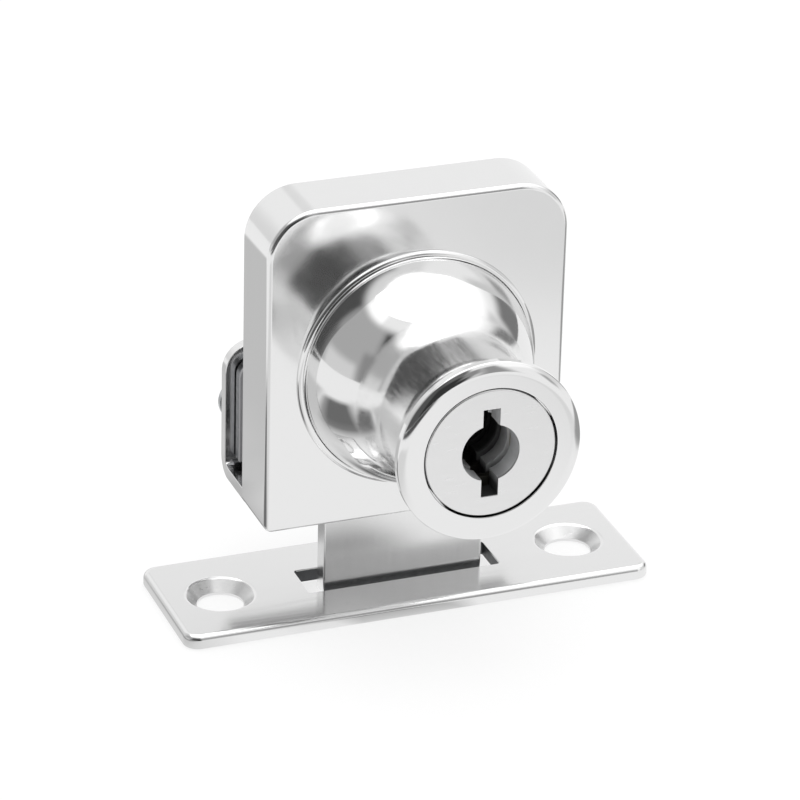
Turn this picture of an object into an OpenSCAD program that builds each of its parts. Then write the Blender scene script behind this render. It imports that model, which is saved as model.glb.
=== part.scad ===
// Cam-driven lock for a glass cabinet door, with its strike plate.
// Origin at the middle of the strike plate's underside, +X along the plate,
// the knob faces -Y and +Z is up. All sizes are in millimetres.

/* [Strike plate] */
// Length of the strike plate
strike_length = 48; // [46:0.5:60]
// Width of the strike plate
strike_width = 15.2; // [13:0.2:20]
// Thickness of the strike plate
strike_thickness = 1.4; // [1.2:0.1:2.4]
// Corner radius of the strike plate
strike_corner_r = 1.5; // [0.5:0.1:3]
// Distance between the two strike screws
strike_hole_spacing = 36.4; // [33:0.2:38]
// Diameter of the strike screw holes
strike_hole_d = 4.6; // [3.5:0.1:5]
// Diameter of each countersink at the top face
strike_countersink_d = 6.8; // [6:0.1:7.2]
// Room in the slot at each end of the bolt
slot_end_room = 1.7; // [0.8:0.1:2.4]
// Room in the slot in front of the bolt
slot_front_room = 0.8; // [0.4:0.1:1.4]
// Room in the slot behind the bolt
slot_back_room = 1.9; // [0.4:0.1:2.4]

/* [Case] */
// Width of the case
case_width = 30.2; // [29:0.2:38]
// Height of the case
case_height = 33; // [31:0.2:40]
// Depth of the case from its front face to its open back
case_depth = 6.9; // [6.6:0.1:9]
// Wall thickness of the case
case_wall = 1.3; // [1:0.1:1.6]
// Radius of the two top corners
case_top_r = 5; // [3:0.1:7]
// Radius of the two bottom corners
case_bottom_r = 0.8; // [0.4:0.1:2]
// Radius of the rounded front edge at the sides and the top
case_edge_r = 0.5; // [0.3:0.1:1.2]
// Drop of the small rounding at the bottom of the front edge
case_low_edge = 0.3; // [0.1:0.1:0.6]
// Gap between the strike plate and the case
case_lift = 7.95; // [7:0.05:12]
// Width of the rails on each side of the bolt
rail_width = 1.3; // [1:0.1:1.6]
// Radius of the posts that take the cover screws
post_r = 2.1; // [1.8:0.1:2.3]

/* [Knob] */
// Height of the knob's axis above the bottom of the case
knob_height = 15.5; // [14:0.1:17]
// Length of the knob from the case to the flange's face
knob_length = 19.2; // [18.4:0.1:24]
// Metal left around the wafer grooves at the neck
neck_wall = 0.8; // [0.6:0.1:1.6]
// Radius of the hollow curves at the neck
neck_curve_r = 5; // [4:0.1:5.4]
// Width of the flange's face around the plug
flange_face = 2.45; // [1.6:0.05:3]
// Thickness of the flange's rim
flange_rim = 1.5; // [1.3:0.1:1.8]
// Rounding of the flange's rim
flange_round = 1.1; // [0.3:0.05:1.2]
// Metal outside the knob screws at the knob's foot
foot_wall = 1.7; // [1.6:0.05:2.5]
// Rounding of the bead round the knob's foot
foot_round = 0.5; // [0.3:0.05:0.5]
// Difference in radius between the foot and the dome's ball
foot_step = 0.55; // [0.5:0.05:1.1]
// Depth of the ball's middle behind the case's front face
dome_sink = 0.9; // [0:0.1:1.2]

/* [Plug and wafers] */
// Diameter of the plug's body
plug_d = 11.4; // [11:0.1:13]
// Lip of the plug's head over its body
plug_lip = 0.7; // [0.4:0.05:1]
// Thickness of the plug's head
plug_head = 1.5; // [1:0.1:2]
// Gap around the plug's head
plug_ring_gap = 0.15; // [0.1:0.01:0.3]
// Depth of the plug's face below the flange's face
plug_recess = 0.1; // [0:0.05:0.4]
// Diameter of the round part of the keyway
keyway_d = 5.6; // [5:0.1:5.8]
// Height of the keyway over its two wings
keyway_height = 8.8; // [8:0.1:9.2]
// Width of the keyway's wings
keyway_wing = 1.6; // [1.2:0.1:2]
// Depth of the keyway
keyway_depth = 14.6; // [14.2:0.1:15.2]
// Thickness of a wafer
wafer_thickness = 0.7; // [0.5:0.05:0.9]
// Distance from one wafer to the next
wafer_pitch = 2.4; // [2.2:0.1:2.6]
// Distance from the plug's face to the first wafer
wafer_start = 2.2; // [1.8:0.1:2.6]
// Travel of a wafer out of the plug
wafer_travel = 0.8; // [0.5:0.05:1]
// Height of a wafer's window
wafer_window = 7; // [6.2:0.1:7.6]
// Width of a wafer beside its window
wafer_side = 0.6; // [0.5:0.05:0.8]
// Reach of a wafer's spring lug
wafer_lug = 0.85; // [0.8:0.05:0.95]
// Wire diameter of the wafer springs
spring_wire_d = 0.18; // [0.14:0.01:0.2]

/* [Bolt and drive] */
// Width of the bolt
bolt_width = 16.4; // [15:0.2:17]
// Thickness of the bolt
bolt_thickness = 2; // [1.6:0.1:2.2]
// Travel of the bolt over half a turn of the key
bolt_throw = 9.4; // [8.6:0.1:9.8]
// Distance of the bolt's middle plane in front of the strike's middle
bolt_forward = 0.7; // [0.4:0.1:1]
// Height of the bolt's tip over the strike's underside
bolt_tip_rise = 0.1; // [0.05:0.05:0.6]
// Rounding of the bolt's lower corners
bolt_corner_r = 0.5; // [0.2:0.1:1]
// Metal above the bolt's drive slot
bolt_head_wall = 2.2; // [1.6:0.1:3]
// Room between the case's front wall and the bolt
bolt_front_room = 0.95; // [0.9:0.05:1.2]
// Diameter of the drive pin
drive_pin_d = 2.2; // [1.8:0.1:2.6]
// Thickness of the drive cam
cam_thickness = 1.3; // [1.1:0.1:1.5]
// Metal of the cam outside the drive pin
cam_rim = 0.7; // [0.5:0.1:1]
// Side of the plug's square tail
tail_side = 4.6; // [4:0.1:5]
// Head diameter of the cam screw
cam_screw_head_d = 7; // [6.7:0.1:7.4]
// Head thickness of the cam screw
cam_screw_head = 0.55; // [0.4:0.05:0.6]
// Thread diameter of the cam screw
cam_screw_d = 2.4; // [2:0.1:2.8]
// Height of the strap that keeps the bolt in its rails
keeper_height = 5; // [4:0.1:7]
// Reach of that strap over each rail
keeper_seat = 0.9; // [0.6:0.1:1]

/* [Small screws] */
// Thread diameter of the knob screws
knob_screw_d = 2.4; // [2:0.1:2.6]
// Head diameter of the knob screws
knob_screw_head_d = 4.2; // [3.8:0.1:4.4]
// Length of the knob screws inside the knob
knob_screw_grip = 2.2; // [1.8:0.1:2.4]
// Thread diameter of the cover screws
cover_screw_d = 2; // [1.6:0.1:2.2]
// Head diameter of the cover screws
cover_screw_head_d = 3.6; // [3.2:0.1:3.8]
// Length of the cover screws inside the posts
cover_screw_grip = 3; // [2:0.1:3.2]
// Metal between a cover screw's head and the edge of the cover
cover_edge = 0.3; // [0.2:0.1:0.6]

/* [Glass clamp] */
// Thickness of the bracket's sheet
clamp_sheet = 1.2; // [1:0.1:1.4]
// Clear width between the case's back and the rear jaw
clamp_gap = 6; // [5.8:0.1:9]
// Height of the rear jaw
jaw_height = 14; // [13:0.1:18]
// Distance of the jaw's sides inside the case's sides
jaw_inset = 0.3; // [0:0.1:1]
// Radius of the jaw's top corners
jaw_corner_r = 3; // [1:0.1:4]
// Inner radius of the bend under the jaw
bend_inner_r = 0.8; // [0.4:0.1:1.2]
// Thickness of each glass pad
pad_thickness = 0.4; // [0.3:0.05:0.6]
// Thickness of the pressure plate
pressure_plate_thickness = 0.8; // [0.6:0.1:1]
// Room between the pressure plate and the jaw at rest
pressure_plate_room = 0.27; // [0.2:0.01:0.5]
// Thread diameter of the clamp screws
clamp_screw_d = 3; // [2.6:0.1:3.2]
// Head diameter of the clamp screws
clamp_screw_head_d = 5; // [4.6:0.1:5.4]
// Head height of the clamp screws
clamp_screw_head = 1.9; // [1.6:0.1:2.2]
// Distance of the clamp screws from the jaw's sides
clamp_screw_inset = 2.8; // [2.6:0.1:4]
// Height of the clamp screws above the bracket's underside
clamp_screw_height = 6.6; // [5.6:0.1:7]
// Travel of the clamp screws
clamp_travel = 1; // [0.5:0.1:1]
// Room left under the clamp screws' heads at the end of their travel
clamp_head_room = 0.25; // [0.2:0.05:0.5]

/* [Hidden] */
$fn = 64;

// Clearances that the fits share
running = 0.05;
sliding = 0.1;
thread_gap = 0.03;
cam_gap = 0.3;
cut = 1;
wafer_count = 5;

// Bolt and strike
bolt_front_y = -bolt_forward - bolt_thickness / 2;
bolt_back_y = bolt_front_y + bolt_thickness;
bolt_half = bolt_width / 2;
slot_half = bolt_half + slot_end_room;
slot_front_y = bolt_front_y - slot_front_room;
slot_back_y = bolt_back_y + slot_back_room;

// Case
case_bottom_z = strike_thickness + case_lift;
case_top_z = case_bottom_z + case_height;
case_half = case_width / 2;
case_front_y = bolt_front_y - bolt_front_room - case_wall;
case_inner_y = case_front_y + case_wall;
case_back_y = case_front_y + case_depth;
cavity_half = case_half - case_wall;
rail_inner = bolt_half + sliding;
rail_back_y = bolt_back_y + sliding;
post_x = cavity_half - sliding - cover_edge - cover_screw_head_d / 2;
post_low_z = case_bottom_z + case_wall + 1.4 * post_r;
post_high_z = case_top_z - case_top_r - post_r / 2;
leg_front_y = case_back_y - clamp_sheet;

// Drive
axis_z = case_bottom_z + knob_height;
cam_throw_r = bolt_throw / 2;
pin_r = drive_pin_d / 2;
plug_r = plug_d / 2;
cam_r = max(cam_throw_r + pin_r, plug_r) + cam_rim;
cam_front_y = case_front_y + sliding;
cam_back_y = cam_front_y + cam_thickness;
cam_hole_r = cam_r + cam_gap;
cam_recess = cam_screw_head + sliding;
pin_rest_z = axis_z - cam_throw_r;
pin_end_y = bolt_back_y - sliding;
drive_slot_r = pin_r + sliding;
loop_angle = asin(2 / PI);
loop_rise = cam_throw_r * (cos(loop_angle) + 2 * loop_angle / 180 - 1);
drive_slot_half = loop_rise + drive_slot_r;
bolt_top_z = pin_rest_z + drive_slot_half + bolt_head_wall;

// Knob and plug
bore_r = plug_r + running;
plug_head_r = plug_r + plug_lip;
flange_bore_r = plug_head_r + plug_ring_gap;
flange_r = flange_bore_r + flange_face;
groove_r = plug_r + sliding;
neck_r = groove_r + wafer_travel + neck_wall;
knob_screw_r = cam_hole_r + knob_screw_head_d / 2 + cam_gap;
foot_r = knob_screw_r + knob_screw_d / 2 + foot_wall;
dome_r = foot_r - foot_step;
plug_face_y = case_front_y - knob_length + plug_recess;
plug_length = cam_front_y - plug_face_y;

// Wafers
wafer_half = keyway_d / 2 + 2 * sliding + wafer_side;
wafer_r = plug_r - running;
spring_r = wafer_lug / 2 - spring_wire_d - running;
spring_x = wafer_half + wafer_lug / 2;
spring_low_z = axis_z - plug_r / 2;
lug_half = wafer_thickness * 0.65;
pocket_y = wafer_lug + 2 * sliding;

// Clamp
jaw_half = case_half - jaw_inset;
jaw_front_y = case_back_y + clamp_gap;
jaw_back_y = jaw_front_y + clamp_sheet;
web_top_z = case_bottom_z + clamp_sheet;
plate_back_y = jaw_front_y - pressure_plate_room;
plate_front_y = plate_back_y - pressure_plate_thickness;
plate_low_z = web_top_z + bend_inner_r;
plate_high_z = case_bottom_z + jaw_height - jaw_corner_r / 2;
plate_half = jaw_half - jaw_corner_r / 3;
clamp_screw_x = jaw_half - clamp_screw_inset;
clamp_screw_z = case_bottom_z + clamp_screw_height;
clamp_head_y = jaw_back_y + clamp_travel + clamp_head_room;
spigot_r = clamp_screw_d * 0.3;

// Points of an arc, from angle a0 to a1
function arc(cx, cy, r, a0, a1, n) =
    [for (i = [0:n]) let (a = a0 + (a1 - a0) * i / n) [cx + r * cos(a), cy + r * sin(a)]];

// Places a child drawn along +Z so that it runs from y towards the front
module to_front(x, y, z) {
    translate([x, y, z]) rotate([90, 0, 0]) children();
}

// Places a flat X-Z outline at y and thickens it towards the front
module plate_to_front(y, thickness) {
    to_front(0, y, 0) linear_extrude(thickness) children();
}

// Outline of the case in X and Z, drawn in by inset and at the bottom by low_inset
module case_outline(inset, low_inset) {
    half = case_half - inset;
    top_r = max(case_top_r - inset, 0.3);
    low_r = max(case_bottom_r - inset, 0.2);
    low_z = case_bottom_z + low_inset;
    high_z = case_top_z - inset;
    polygon(concat(
        arc(half - low_r, low_z + low_r, low_r, -90, 0, 6),
        arc(half - top_r, high_z - top_r, top_r, 0, 90, 12),
        arc(-half + top_r, high_z - top_r, top_r, 90, 180, 12),
        arc(-half + low_r, low_z + low_r, low_r, 180, 270, 6)));
}

// Rectangle in X and Z with rounded top corners
module rounded_top(half, low_z, high_z, r) {
    polygon(concat(
        [[-half, low_z], [half, low_z]],
        arc(half - r, high_z - r, r, 0, 90, 8),
        arc(-half + r, high_z - r, r, 90, 180, 8)));
}

// Screw with a countersunk head whose flat face lies at z = 0 and points to -Z
module countersunk_screw(d, head_d, length) {
    cone = (head_d - d) / 2;
    cylinder(d1 = head_d, d2 = d, h = cone);
    cylinder(d = d, h = length);
}

// Straight screwdriver slot cut into a head that starts at z = 0
module driver_slot(head_d, width, depth) {
    translate([-head_d, -width / 2, -cut]) cube([2 * head_d, width, depth + cut]);
}

module strike_plate() {
    cone = (strike_countersink_d - strike_hole_d) / 2;
    color("gainsboro") difference() {
        linear_extrude(strike_thickness) union() {
            square([strike_length, strike_width - 2 * strike_corner_r], center = true);
            square([strike_length - 2 * strike_corner_r, strike_width], center = true);
            for (sx = [-1, 1], sy = [-1, 1])
                translate([sx * (strike_length / 2 - strike_corner_r),
                           sy * (strike_width / 2 - strike_corner_r)])
                    circle(strike_corner_r);
        }
        for (side = [-1, 1]) translate([side * strike_hole_spacing / 2, 0, 0]) {
            translate([0, 0, -cut]) cylinder(d = strike_hole_d, h = strike_thickness + 2 * cut);
            translate([0, 0, strike_thickness - cone])
                cylinder(d1 = strike_hole_d, d2 = strike_countersink_d, h = cone);
        }
        translate([-slot_half, slot_front_y, -cut])
            cube([2 * slot_half, slot_back_y - slot_front_y, strike_thickness + 2 * cut]);
    }
}

// Solid outer form of the case, with its rounded front edge
module case_body() {
    hull() {
        plate_to_front(case_back_y, case_depth - case_edge_r) case_outline(0, 0);
        for (a = [22.5:22.5:90])
            plate_to_front(case_back_y, case_depth - case_edge_r * (1 - sin(a)))
                case_outline(case_edge_r * (1 - cos(a)), case_low_edge * (1 - cos(a)));
    }
}

module case_rails() {
    rail_low_z = case_bottom_z + case_wall / 2;
    rail_high_z = case_top_z - case_wall / 2;
    for (side = [0, 1]) mirror([side, 0, 0])
        translate([rail_inner, case_inner_y - case_wall / 2, rail_low_z])
            cube([rail_width, rail_back_y - case_inner_y + case_wall / 2, rail_high_z - rail_low_z]);
}

// Places children at the four cover screws
module at_cover_screws() {
    for (side = [-1, 1], z = [post_low_z, post_high_z])
        translate([side * post_x, 0, z]) children();
}

// Places children at the two knob screws, above and below the knob's axis
module at_knob_screws() {
    for (side = [-1, 1])
        to_front(0, case_inner_y, axis_z + side * knob_screw_r) children();
}

module front_case() {
    post_length = leg_front_y - case_inner_y + case_wall / 2;
    color("silver") difference() {
        union() {
            difference() {
                case_body();
                plate_to_front(case_back_y + cut, case_depth - case_wall + cut)
                    case_outline(case_wall, case_wall);
            }
            case_rails();
            at_cover_screws() to_front(0, leg_front_y, 0) cylinder(r = post_r, h = post_length);
        }
        translate([-bolt_half - sliding, bolt_front_y - sliding, case_bottom_z - cut])
            cube([bolt_width + 2 * sliding, bolt_thickness + 2 * sliding, case_wall + 2 * cut]);
        translate([-cavity_half, leg_front_y, case_bottom_z - cut])
            cube([2 * cavity_half, clamp_sheet + cut, case_wall + 2 * cut]);
        to_front(0, case_inner_y + cut, axis_z) cylinder(r = cam_hole_r, h = case_wall + 2 * cut);
        at_knob_screws() {
            countersunk_screw(knob_screw_d + 2 * thread_gap, knob_screw_head_d + 2 * thread_gap,
                              case_wall + cut);
            translate([0, 0, -cut]) cylinder(d = knob_screw_head_d + 2 * thread_gap, h = cut);
        }
        at_cover_screws() to_front(0, leg_front_y + cut, 0)
            cylinder(d = cover_screw_d + 2 * thread_gap, h = cover_screw_grip + sliding + cut);
    }
}

// Half outline of the knob: radius, then height over the case's front face
function knob_outline() =
    let (sum_r = dome_r + neck_curve_r,
         neck_x = neck_r + neck_curve_r,
         neck_h = sqrt(sum_r * sum_r - neck_x * neck_x) - dome_sink,
         meet = atan2(neck_h + dome_sink, neck_x),
         dome_start = asin((foot_round + dome_sink) / dome_r),
         rim_h = knob_length - flange_rim,
         flare = acos((neck_x - flange_r) / neck_curve_r),
         flare_h = rim_h - neck_curve_r * sin(flare))
    concat(
        [[0, 0]],
        arc(foot_r - foot_round, 0, foot_round, 0, 90, 5),
        arc(0, -dome_sink, dome_r, dome_start, meet, 18),
        arc(neck_x, neck_h, neck_curve_r, 180 + meet, 180, 8),
        arc(neck_x, flare_h, neck_curve_r, 180, 180 - flare, 8),
        arc(flange_r - flange_round, knob_length - flange_round, flange_round, 0, 90, 8),
        [[0, knob_length]]);

module pull_knob() {
    groove_back_y = plug_face_y + wafer_start + wafer_count * wafer_pitch;
    groove_length = wafer_count * wafer_pitch + wafer_thickness;
    color("whitesmoke") difference() {
        to_front(0, case_front_y, axis_z) rotate_extrude() polygon(knob_outline());
        to_front(0, case_front_y + cut, axis_z) cylinder(r = bore_r, h = knob_length + 2 * cut);
        to_front(0, plug_face_y + plug_head + sliding, axis_z)
            cylinder(r = flange_bore_r, h = knob_length);
        for (side = [-1, 1]) intersection() {
            to_front(0, groove_back_y, axis_z + side * wafer_travel)
                cylinder(r = groove_r, h = groove_length);
            translate([-wafer_half - sliding, plug_face_y, axis_z - 2 * plug_d])
                cube([2 * (wafer_half + sliding), plug_length, 4 * plug_d]);
        }
        at_knob_screws()
            cylinder(d = knob_screw_d + 2 * thread_gap, h = case_wall + knob_screw_grip + sliding);
    }
}

module knob_screws() {
    color("darkgray") at_knob_screws() difference() {
        countersunk_screw(knob_screw_d, knob_screw_head_d, case_wall + knob_screw_grip);
        driver_slot(knob_screw_head_d, knob_screw_d / 4, knob_screw_d / 5);
    }
}

// Side outline of the bracket's web and rear jaw, in Y and Z
module web_and_jaw_profile() {
    outer_r = bend_inner_r + clamp_sheet;
    bend_y = jaw_back_y - outer_r;
    bend_z = case_bottom_z + outer_r;
    translate([case_back_y, case_bottom_z]) square([bend_y - case_back_y, clamp_sheet]);
    translate([jaw_front_y, bend_z]) square([clamp_sheet, jaw_height - outer_r]);
    translate([bend_y, bend_z]) difference() {
        circle(outer_r);
        circle(bend_inner_r);
        translate([-outer_r - cut, -outer_r - cut]) square([outer_r + cut, 2 * (outer_r + cut)]);
        translate([-outer_r - cut, 0]) square(2 * (outer_r + cut));
    }
}

module clamp_bracket() {
    leg_half = cavity_half - sliding;
    color("lightgray") difference() {
        union() {
            plate_to_front(case_back_y, clamp_sheet) {
                case_outline(case_wall + sliding, case_wall + sliding);
                translate([-leg_half, case_bottom_z]) square([2 * leg_half, 2 * case_wall]);
            }
            intersection() {
                translate([-jaw_half, 0, 0]) rotate([90, 0, 90])
                    linear_extrude(2 * jaw_half) web_and_jaw_profile();
                plate_to_front(jaw_back_y + cut, jaw_back_y - case_back_y + 2 * cut)
                    rounded_top(jaw_half, case_bottom_z, case_bottom_z + jaw_height, jaw_corner_r);
            }
        }
        at_cover_screws() to_front(0, case_back_y, 0)
            countersunk_screw(cover_screw_d + 2 * thread_gap, cover_screw_head_d + 2 * thread_gap,
                              clamp_sheet + cut);
        for (side = [-1, 1]) to_front(side * clamp_screw_x, jaw_back_y + cut, clamp_screw_z)
            cylinder(d = clamp_screw_d + 2 * running, h = clamp_sheet + 2 * cut);
    }
}

module cover_screws() {
    color("darkgray") at_cover_screws() to_front(0, case_back_y, 0) difference() {
        countersunk_screw(cover_screw_d, cover_screw_head_d, clamp_sheet + cover_screw_grip);
        driver_slot(cover_screw_head_d, cover_screw_d / 4, cover_screw_d / 5);
    }
}

module bolt_keeper() {
    low_z = case_bottom_z + case_wall + sliding;
    keeper_half = rail_inner + keeper_seat;
    color("gray") translate([-keeper_half, rail_back_y, low_z])
        cube([2 * keeper_half, leg_front_y - rail_back_y, keeper_height]);
}

module front_glass_pad() {
    pad_half = post_x - cover_screw_head_d / 2 - 4 * sliding;
    color("dimgray") plate_to_front(case_back_y + pad_thickness, pad_thickness)
        rounded_top(pad_half, plate_low_z, plate_high_z, jaw_corner_r / 2);
}

module pressure_plate() {
    color("lightgray") difference() {
        plate_to_front(plate_back_y, pressure_plate_thickness)
            rounded_top(plate_half, plate_low_z, plate_high_z, jaw_corner_r / 2);
        for (side = [-1, 1]) to_front(side * clamp_screw_x, plate_back_y + cut, clamp_screw_z)
            cylinder(r = spigot_r + running, h = pressure_plate_thickness + 2 * cut);
    }
}

module rear_glass_pad() {
    color("dimgray") plate_to_front(plate_front_y, pad_thickness)
        rounded_top(plate_half, plate_low_z, plate_high_z, jaw_corner_r / 2);
}

// Pan-head screw through the jaw, with a spigot that turns in the pressure plate
module clamp_screw(side) {
    shank = clamp_head_y - plate_back_y - running;
    crown_r = clamp_screw_head_d * 0.2;
    color("silver") to_front(side * clamp_screw_x, clamp_head_y, clamp_screw_z) {
        difference() {
            rotate([180, 0, 0]) rotate_extrude() polygon(concat(
                [[0, 0], [clamp_screw_head_d / 2, 0]],
                arc(clamp_screw_head_d / 2 - crown_r, clamp_screw_head - crown_r, crown_r, 0, 90, 6),
                [[0, clamp_screw_head]]));
            translate([0, 0, -clamp_screw_head])
                driver_slot(clamp_screw_head_d, clamp_screw_d / 4, clamp_screw_head / 2);
        }
        cylinder(d = clamp_screw_d, h = shank);
        cylinder(r = spigot_r, h = shank + pressure_plate_thickness);
    }
}

module clamp_screw_left() {
    clamp_screw(-1);
}

module clamp_screw_right() {
    clamp_screw(1);
}

// Middle of wafer number i, counted from the plug's face
function wafer_y(i) = plug_face_y + wafer_start + (i - 1) * wafer_pitch + wafer_thickness / 2;

module key_plug() {
    color("lightgray") difference() {
        union() {
            to_front(0, cam_front_y, axis_z) cylinder(r = plug_r, h = plug_length);
            to_front(0, plug_face_y + plug_head, axis_z) cylinder(r = plug_head_r, h = plug_head);
            translate([-tail_side / 2, cam_front_y - cut, axis_z - tail_side / 2])
                cube([tail_side, cam_thickness - cam_recess - running + cut, tail_side]);
        }
        to_front(0, plug_face_y + keyway_depth, axis_z) {
            cylinder(d = keyway_d, h = keyway_depth + cut);
            translate([-keyway_wing / 2, -keyway_height / 2, 0])
                cube([keyway_wing, keyway_height, keyway_depth + cut]);
        }
        for (i = [1:wafer_count]) {
            translate([-wafer_half - running, wafer_y(i) - wafer_thickness / 2 - running, axis_z - plug_d])
                cube([2 * (wafer_half + running), wafer_thickness + 2 * running, 2 * plug_d]);
            translate([wafer_half - running, wafer_y(i) - pocket_y / 2, spring_low_z - sliding])
                cube([wafer_lug + 2 * running + sliding, pocket_y,
                      axis_z + lug_half + wafer_travel + 2 * sliding - spring_low_z]);
        }
        to_front(0, cam_back_y, axis_z)
            cylinder(d = cam_screw_d + 2 * thread_gap, h = plug_length - keyway_depth);
    }
}

// Brass wafer with its window and spring lug
module wafer(i) {
    color("goldenrod") to_front(0, wafer_y(i) + wafer_thickness / 2, axis_z)
        linear_extrude(wafer_thickness) union() {
            difference() {
                intersection() {
                    circle(wafer_r);
                    square([2 * wafer_half, 2 * wafer_r], center = true);
                }
                square([2 * (wafer_half - wafer_side), wafer_window], center = true);
            }
            translate([wafer_half - wafer_side, -lug_half])
                square([wafer_side + wafer_lug, 2 * lug_half]);
        }
}

// Coil of round wire, standing along +Z, as one swept tube
module coil(mean_r, wire_r, height, turns) {
    steps = 12;
    sides = 6;
    rings = turns * steps;
    pitch = height / turns;
    points = [for (k = [0:rings], s = [0:sides - 1])
        let (a = 360 * k / steps, b = 360 * s / sides, r = mean_r + wire_r * cos(b))
        [r * cos(a), r * sin(a), pitch * k / steps + wire_r * sin(b)]];
    walls = [for (k = [0:rings - 1], s = [0:sides - 1], half = [0, 1])
        let (p = k * sides + s, q = k * sides + (s + 1) % sides)
        half == 0 ? [p, p + sides, q] : [q, p + sides, q + sides]];
    caps = [for (s = [1:sides - 2], end = [0, 1])
        end == 0 ? [0, s, s + 1] : [rings * sides, rings * sides + s + 1, rings * sides + s]];
    polyhedron(points, concat(walls, caps));
}

module wafer_springs() {
    wire_r = spring_wire_d / 2;
    height = axis_z - lug_half - sliding / 2 - spring_low_z - spring_wire_d;
    color("dimgray") for (i = [1:wafer_count])
        translate([spring_x, wafer_y(i), spring_low_z + wire_r]) coil(spring_r, wire_r, height, 4);
}

module drive_cam() {
    color("gray") difference() {
        to_front(0, cam_back_y, axis_z) cylinder(r = cam_r, h = cam_thickness);
        translate([-tail_side / 2 - running, cam_front_y - cut, axis_z - tail_side / 2 - running])
            cube([tail_side + 2 * running, cam_thickness + 2 * cut, tail_side + 2 * running]);
        to_front(0, cam_back_y + cut, axis_z)
            cylinder(d = cam_screw_head_d + 2 * sliding, h = cam_recess + cut);
        to_front(0, cam_back_y + cut, pin_rest_z) cylinder(r = pin_r, h = cam_thickness + 2 * cut);
    }
}

module drive_pin() {
    color("silver") to_front(0, pin_end_y, pin_rest_z) cylinder(r = pin_r, h = pin_end_y - cam_front_y);
}

module cam_screw() {
    head_front_y = cam_back_y - cam_recess;
    color("darkgray") to_front(0, head_front_y + cam_screw_head, axis_z) difference() {
        union() {
            cylinder(d = cam_screw_head_d, h = cam_screw_head);
            cylinder(d = cam_screw_d, h = plug_length - keyway_depth - cam_thickness);
        }
        driver_slot(cam_screw_head_d, cam_screw_d / 4, cam_screw_head / 2);
    }
}

// Path of the drive pin's middle in the bolt, as the key turns by angle t
function pin_path(t) = [-cam_throw_r * sin(t), -cam_throw_r * cos(t) - bolt_throw * t / 180];

// Direction square to that path, pointing out of the loop
function pin_side(t) =
    let (dx = -cam_throw_r * cos(t), dz = cam_throw_r * sin(t) - bolt_throw / PI, n = norm([dx, dz]))
    [-dz / n, dx / n];

module drive_slot() {
    polygon([for (t = [0:5:180]) pin_path(t) + drive_slot_r * pin_side(t)]);
    translate([0, -cam_throw_r]) circle(drive_slot_r);
}

module dead_bolt() {
    color("gainsboro") difference() {
        to_front(0, bolt_back_y, 0) linear_extrude(bolt_thickness) mirror([0, 1])
            rounded_top(bolt_half, -bolt_top_z, -bolt_tip_rise, bolt_corner_r);
        to_front(0, bolt_back_y + cut, axis_z) linear_extrude(bolt_thickness + 2 * cut) drive_slot();
    }
}

strike_plate();
front_case();
pull_knob();
knob_screws();
clamp_bracket();
cover_screws();
bolt_keeper();
front_glass_pad();
pressure_plate();
rear_glass_pad();
clamp_screw_left();
clamp_screw_right();
key_plug();
wafer(1);  // wafer_1
wafer(2);  // wafer_2
wafer(3);  // wafer_3
wafer(4);  // wafer_4
wafer(5);  // wafer_5
wafer_springs();
drive_cam();
drive_pin();
cam_screw();
dead_bolt();
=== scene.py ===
"""Looks of a glass cabinet door lock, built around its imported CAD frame."""
import math

import bmesh
import bpy
from mathutils import Matrix, Vector


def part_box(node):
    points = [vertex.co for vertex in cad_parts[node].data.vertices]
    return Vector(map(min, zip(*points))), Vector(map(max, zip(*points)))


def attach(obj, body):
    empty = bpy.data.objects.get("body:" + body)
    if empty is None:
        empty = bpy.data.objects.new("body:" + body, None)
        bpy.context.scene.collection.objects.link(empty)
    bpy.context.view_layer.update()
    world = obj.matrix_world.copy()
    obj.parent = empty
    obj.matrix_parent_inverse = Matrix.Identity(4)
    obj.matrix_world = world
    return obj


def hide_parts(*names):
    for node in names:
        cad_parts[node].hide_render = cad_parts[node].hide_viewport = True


bl_info = {
    "name": "Glass Door Lock",
    "version": (1, 0, 0),
    "blender": (4, 5, 0),
    "location": "3D View > Sidebar > Lock",
    "description": "Dresses a glass cabinet door lock and sets up its studio",
    "category": "Add Mesh",
}

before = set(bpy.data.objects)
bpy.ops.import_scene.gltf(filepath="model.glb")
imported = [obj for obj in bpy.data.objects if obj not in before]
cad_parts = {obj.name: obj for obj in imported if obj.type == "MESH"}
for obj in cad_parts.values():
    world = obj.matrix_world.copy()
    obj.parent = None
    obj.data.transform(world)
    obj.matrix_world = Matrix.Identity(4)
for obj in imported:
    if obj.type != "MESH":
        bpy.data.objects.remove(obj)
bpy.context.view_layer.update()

# Pieces are drawn in millimetres and scaled to metres when they are finished
MM = 0.001


def mm(length):
    """A length in metres as millimetres."""
    return length / MM


def box_mm(node):
    """Lowest and highest corner of a CAD node, in millimetres."""
    low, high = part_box(node)
    return low / MM, high / MM


def linear(code):
    """Linear colour of an sRGB hex code."""
    channels = [int(code[i:i + 2], 16) / 255 for i in (1, 3, 5)]
    return [c / 12.92 if c <= 0.04045 else ((c + 0.055) / 1.055) ** 2.4 for c in channels]


CASE_LOW, CASE_HIGH = box_mm("front_case")
KNOB_LOW, KNOB_HIGH = box_mm("pull_knob")
PLUG_LOW, PLUG_HIGH = box_mm("key_plug")
BOLT_LOW, BOLT_HIGH = box_mm("dead_bolt")
STRIKE_LOW, STRIKE_HIGH = box_mm("strike_plate")
CAM_LOW = box_mm("drive_cam")[0]
AXIS_Z = (KNOB_LOW.z + KNOB_HIGH.z) / 2
WAFERS = [f"wafer_{i}" for i in range(1, 6)]


def size(name, description, millimetres):
    """A length property whose default is given in millimetres."""
    return bpy.props.FloatProperty(
        name=name, description=description, default=millimetres * MM, min=0.0,
        precision=5, unit="LENGTH", subtype="DISTANCE")


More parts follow.
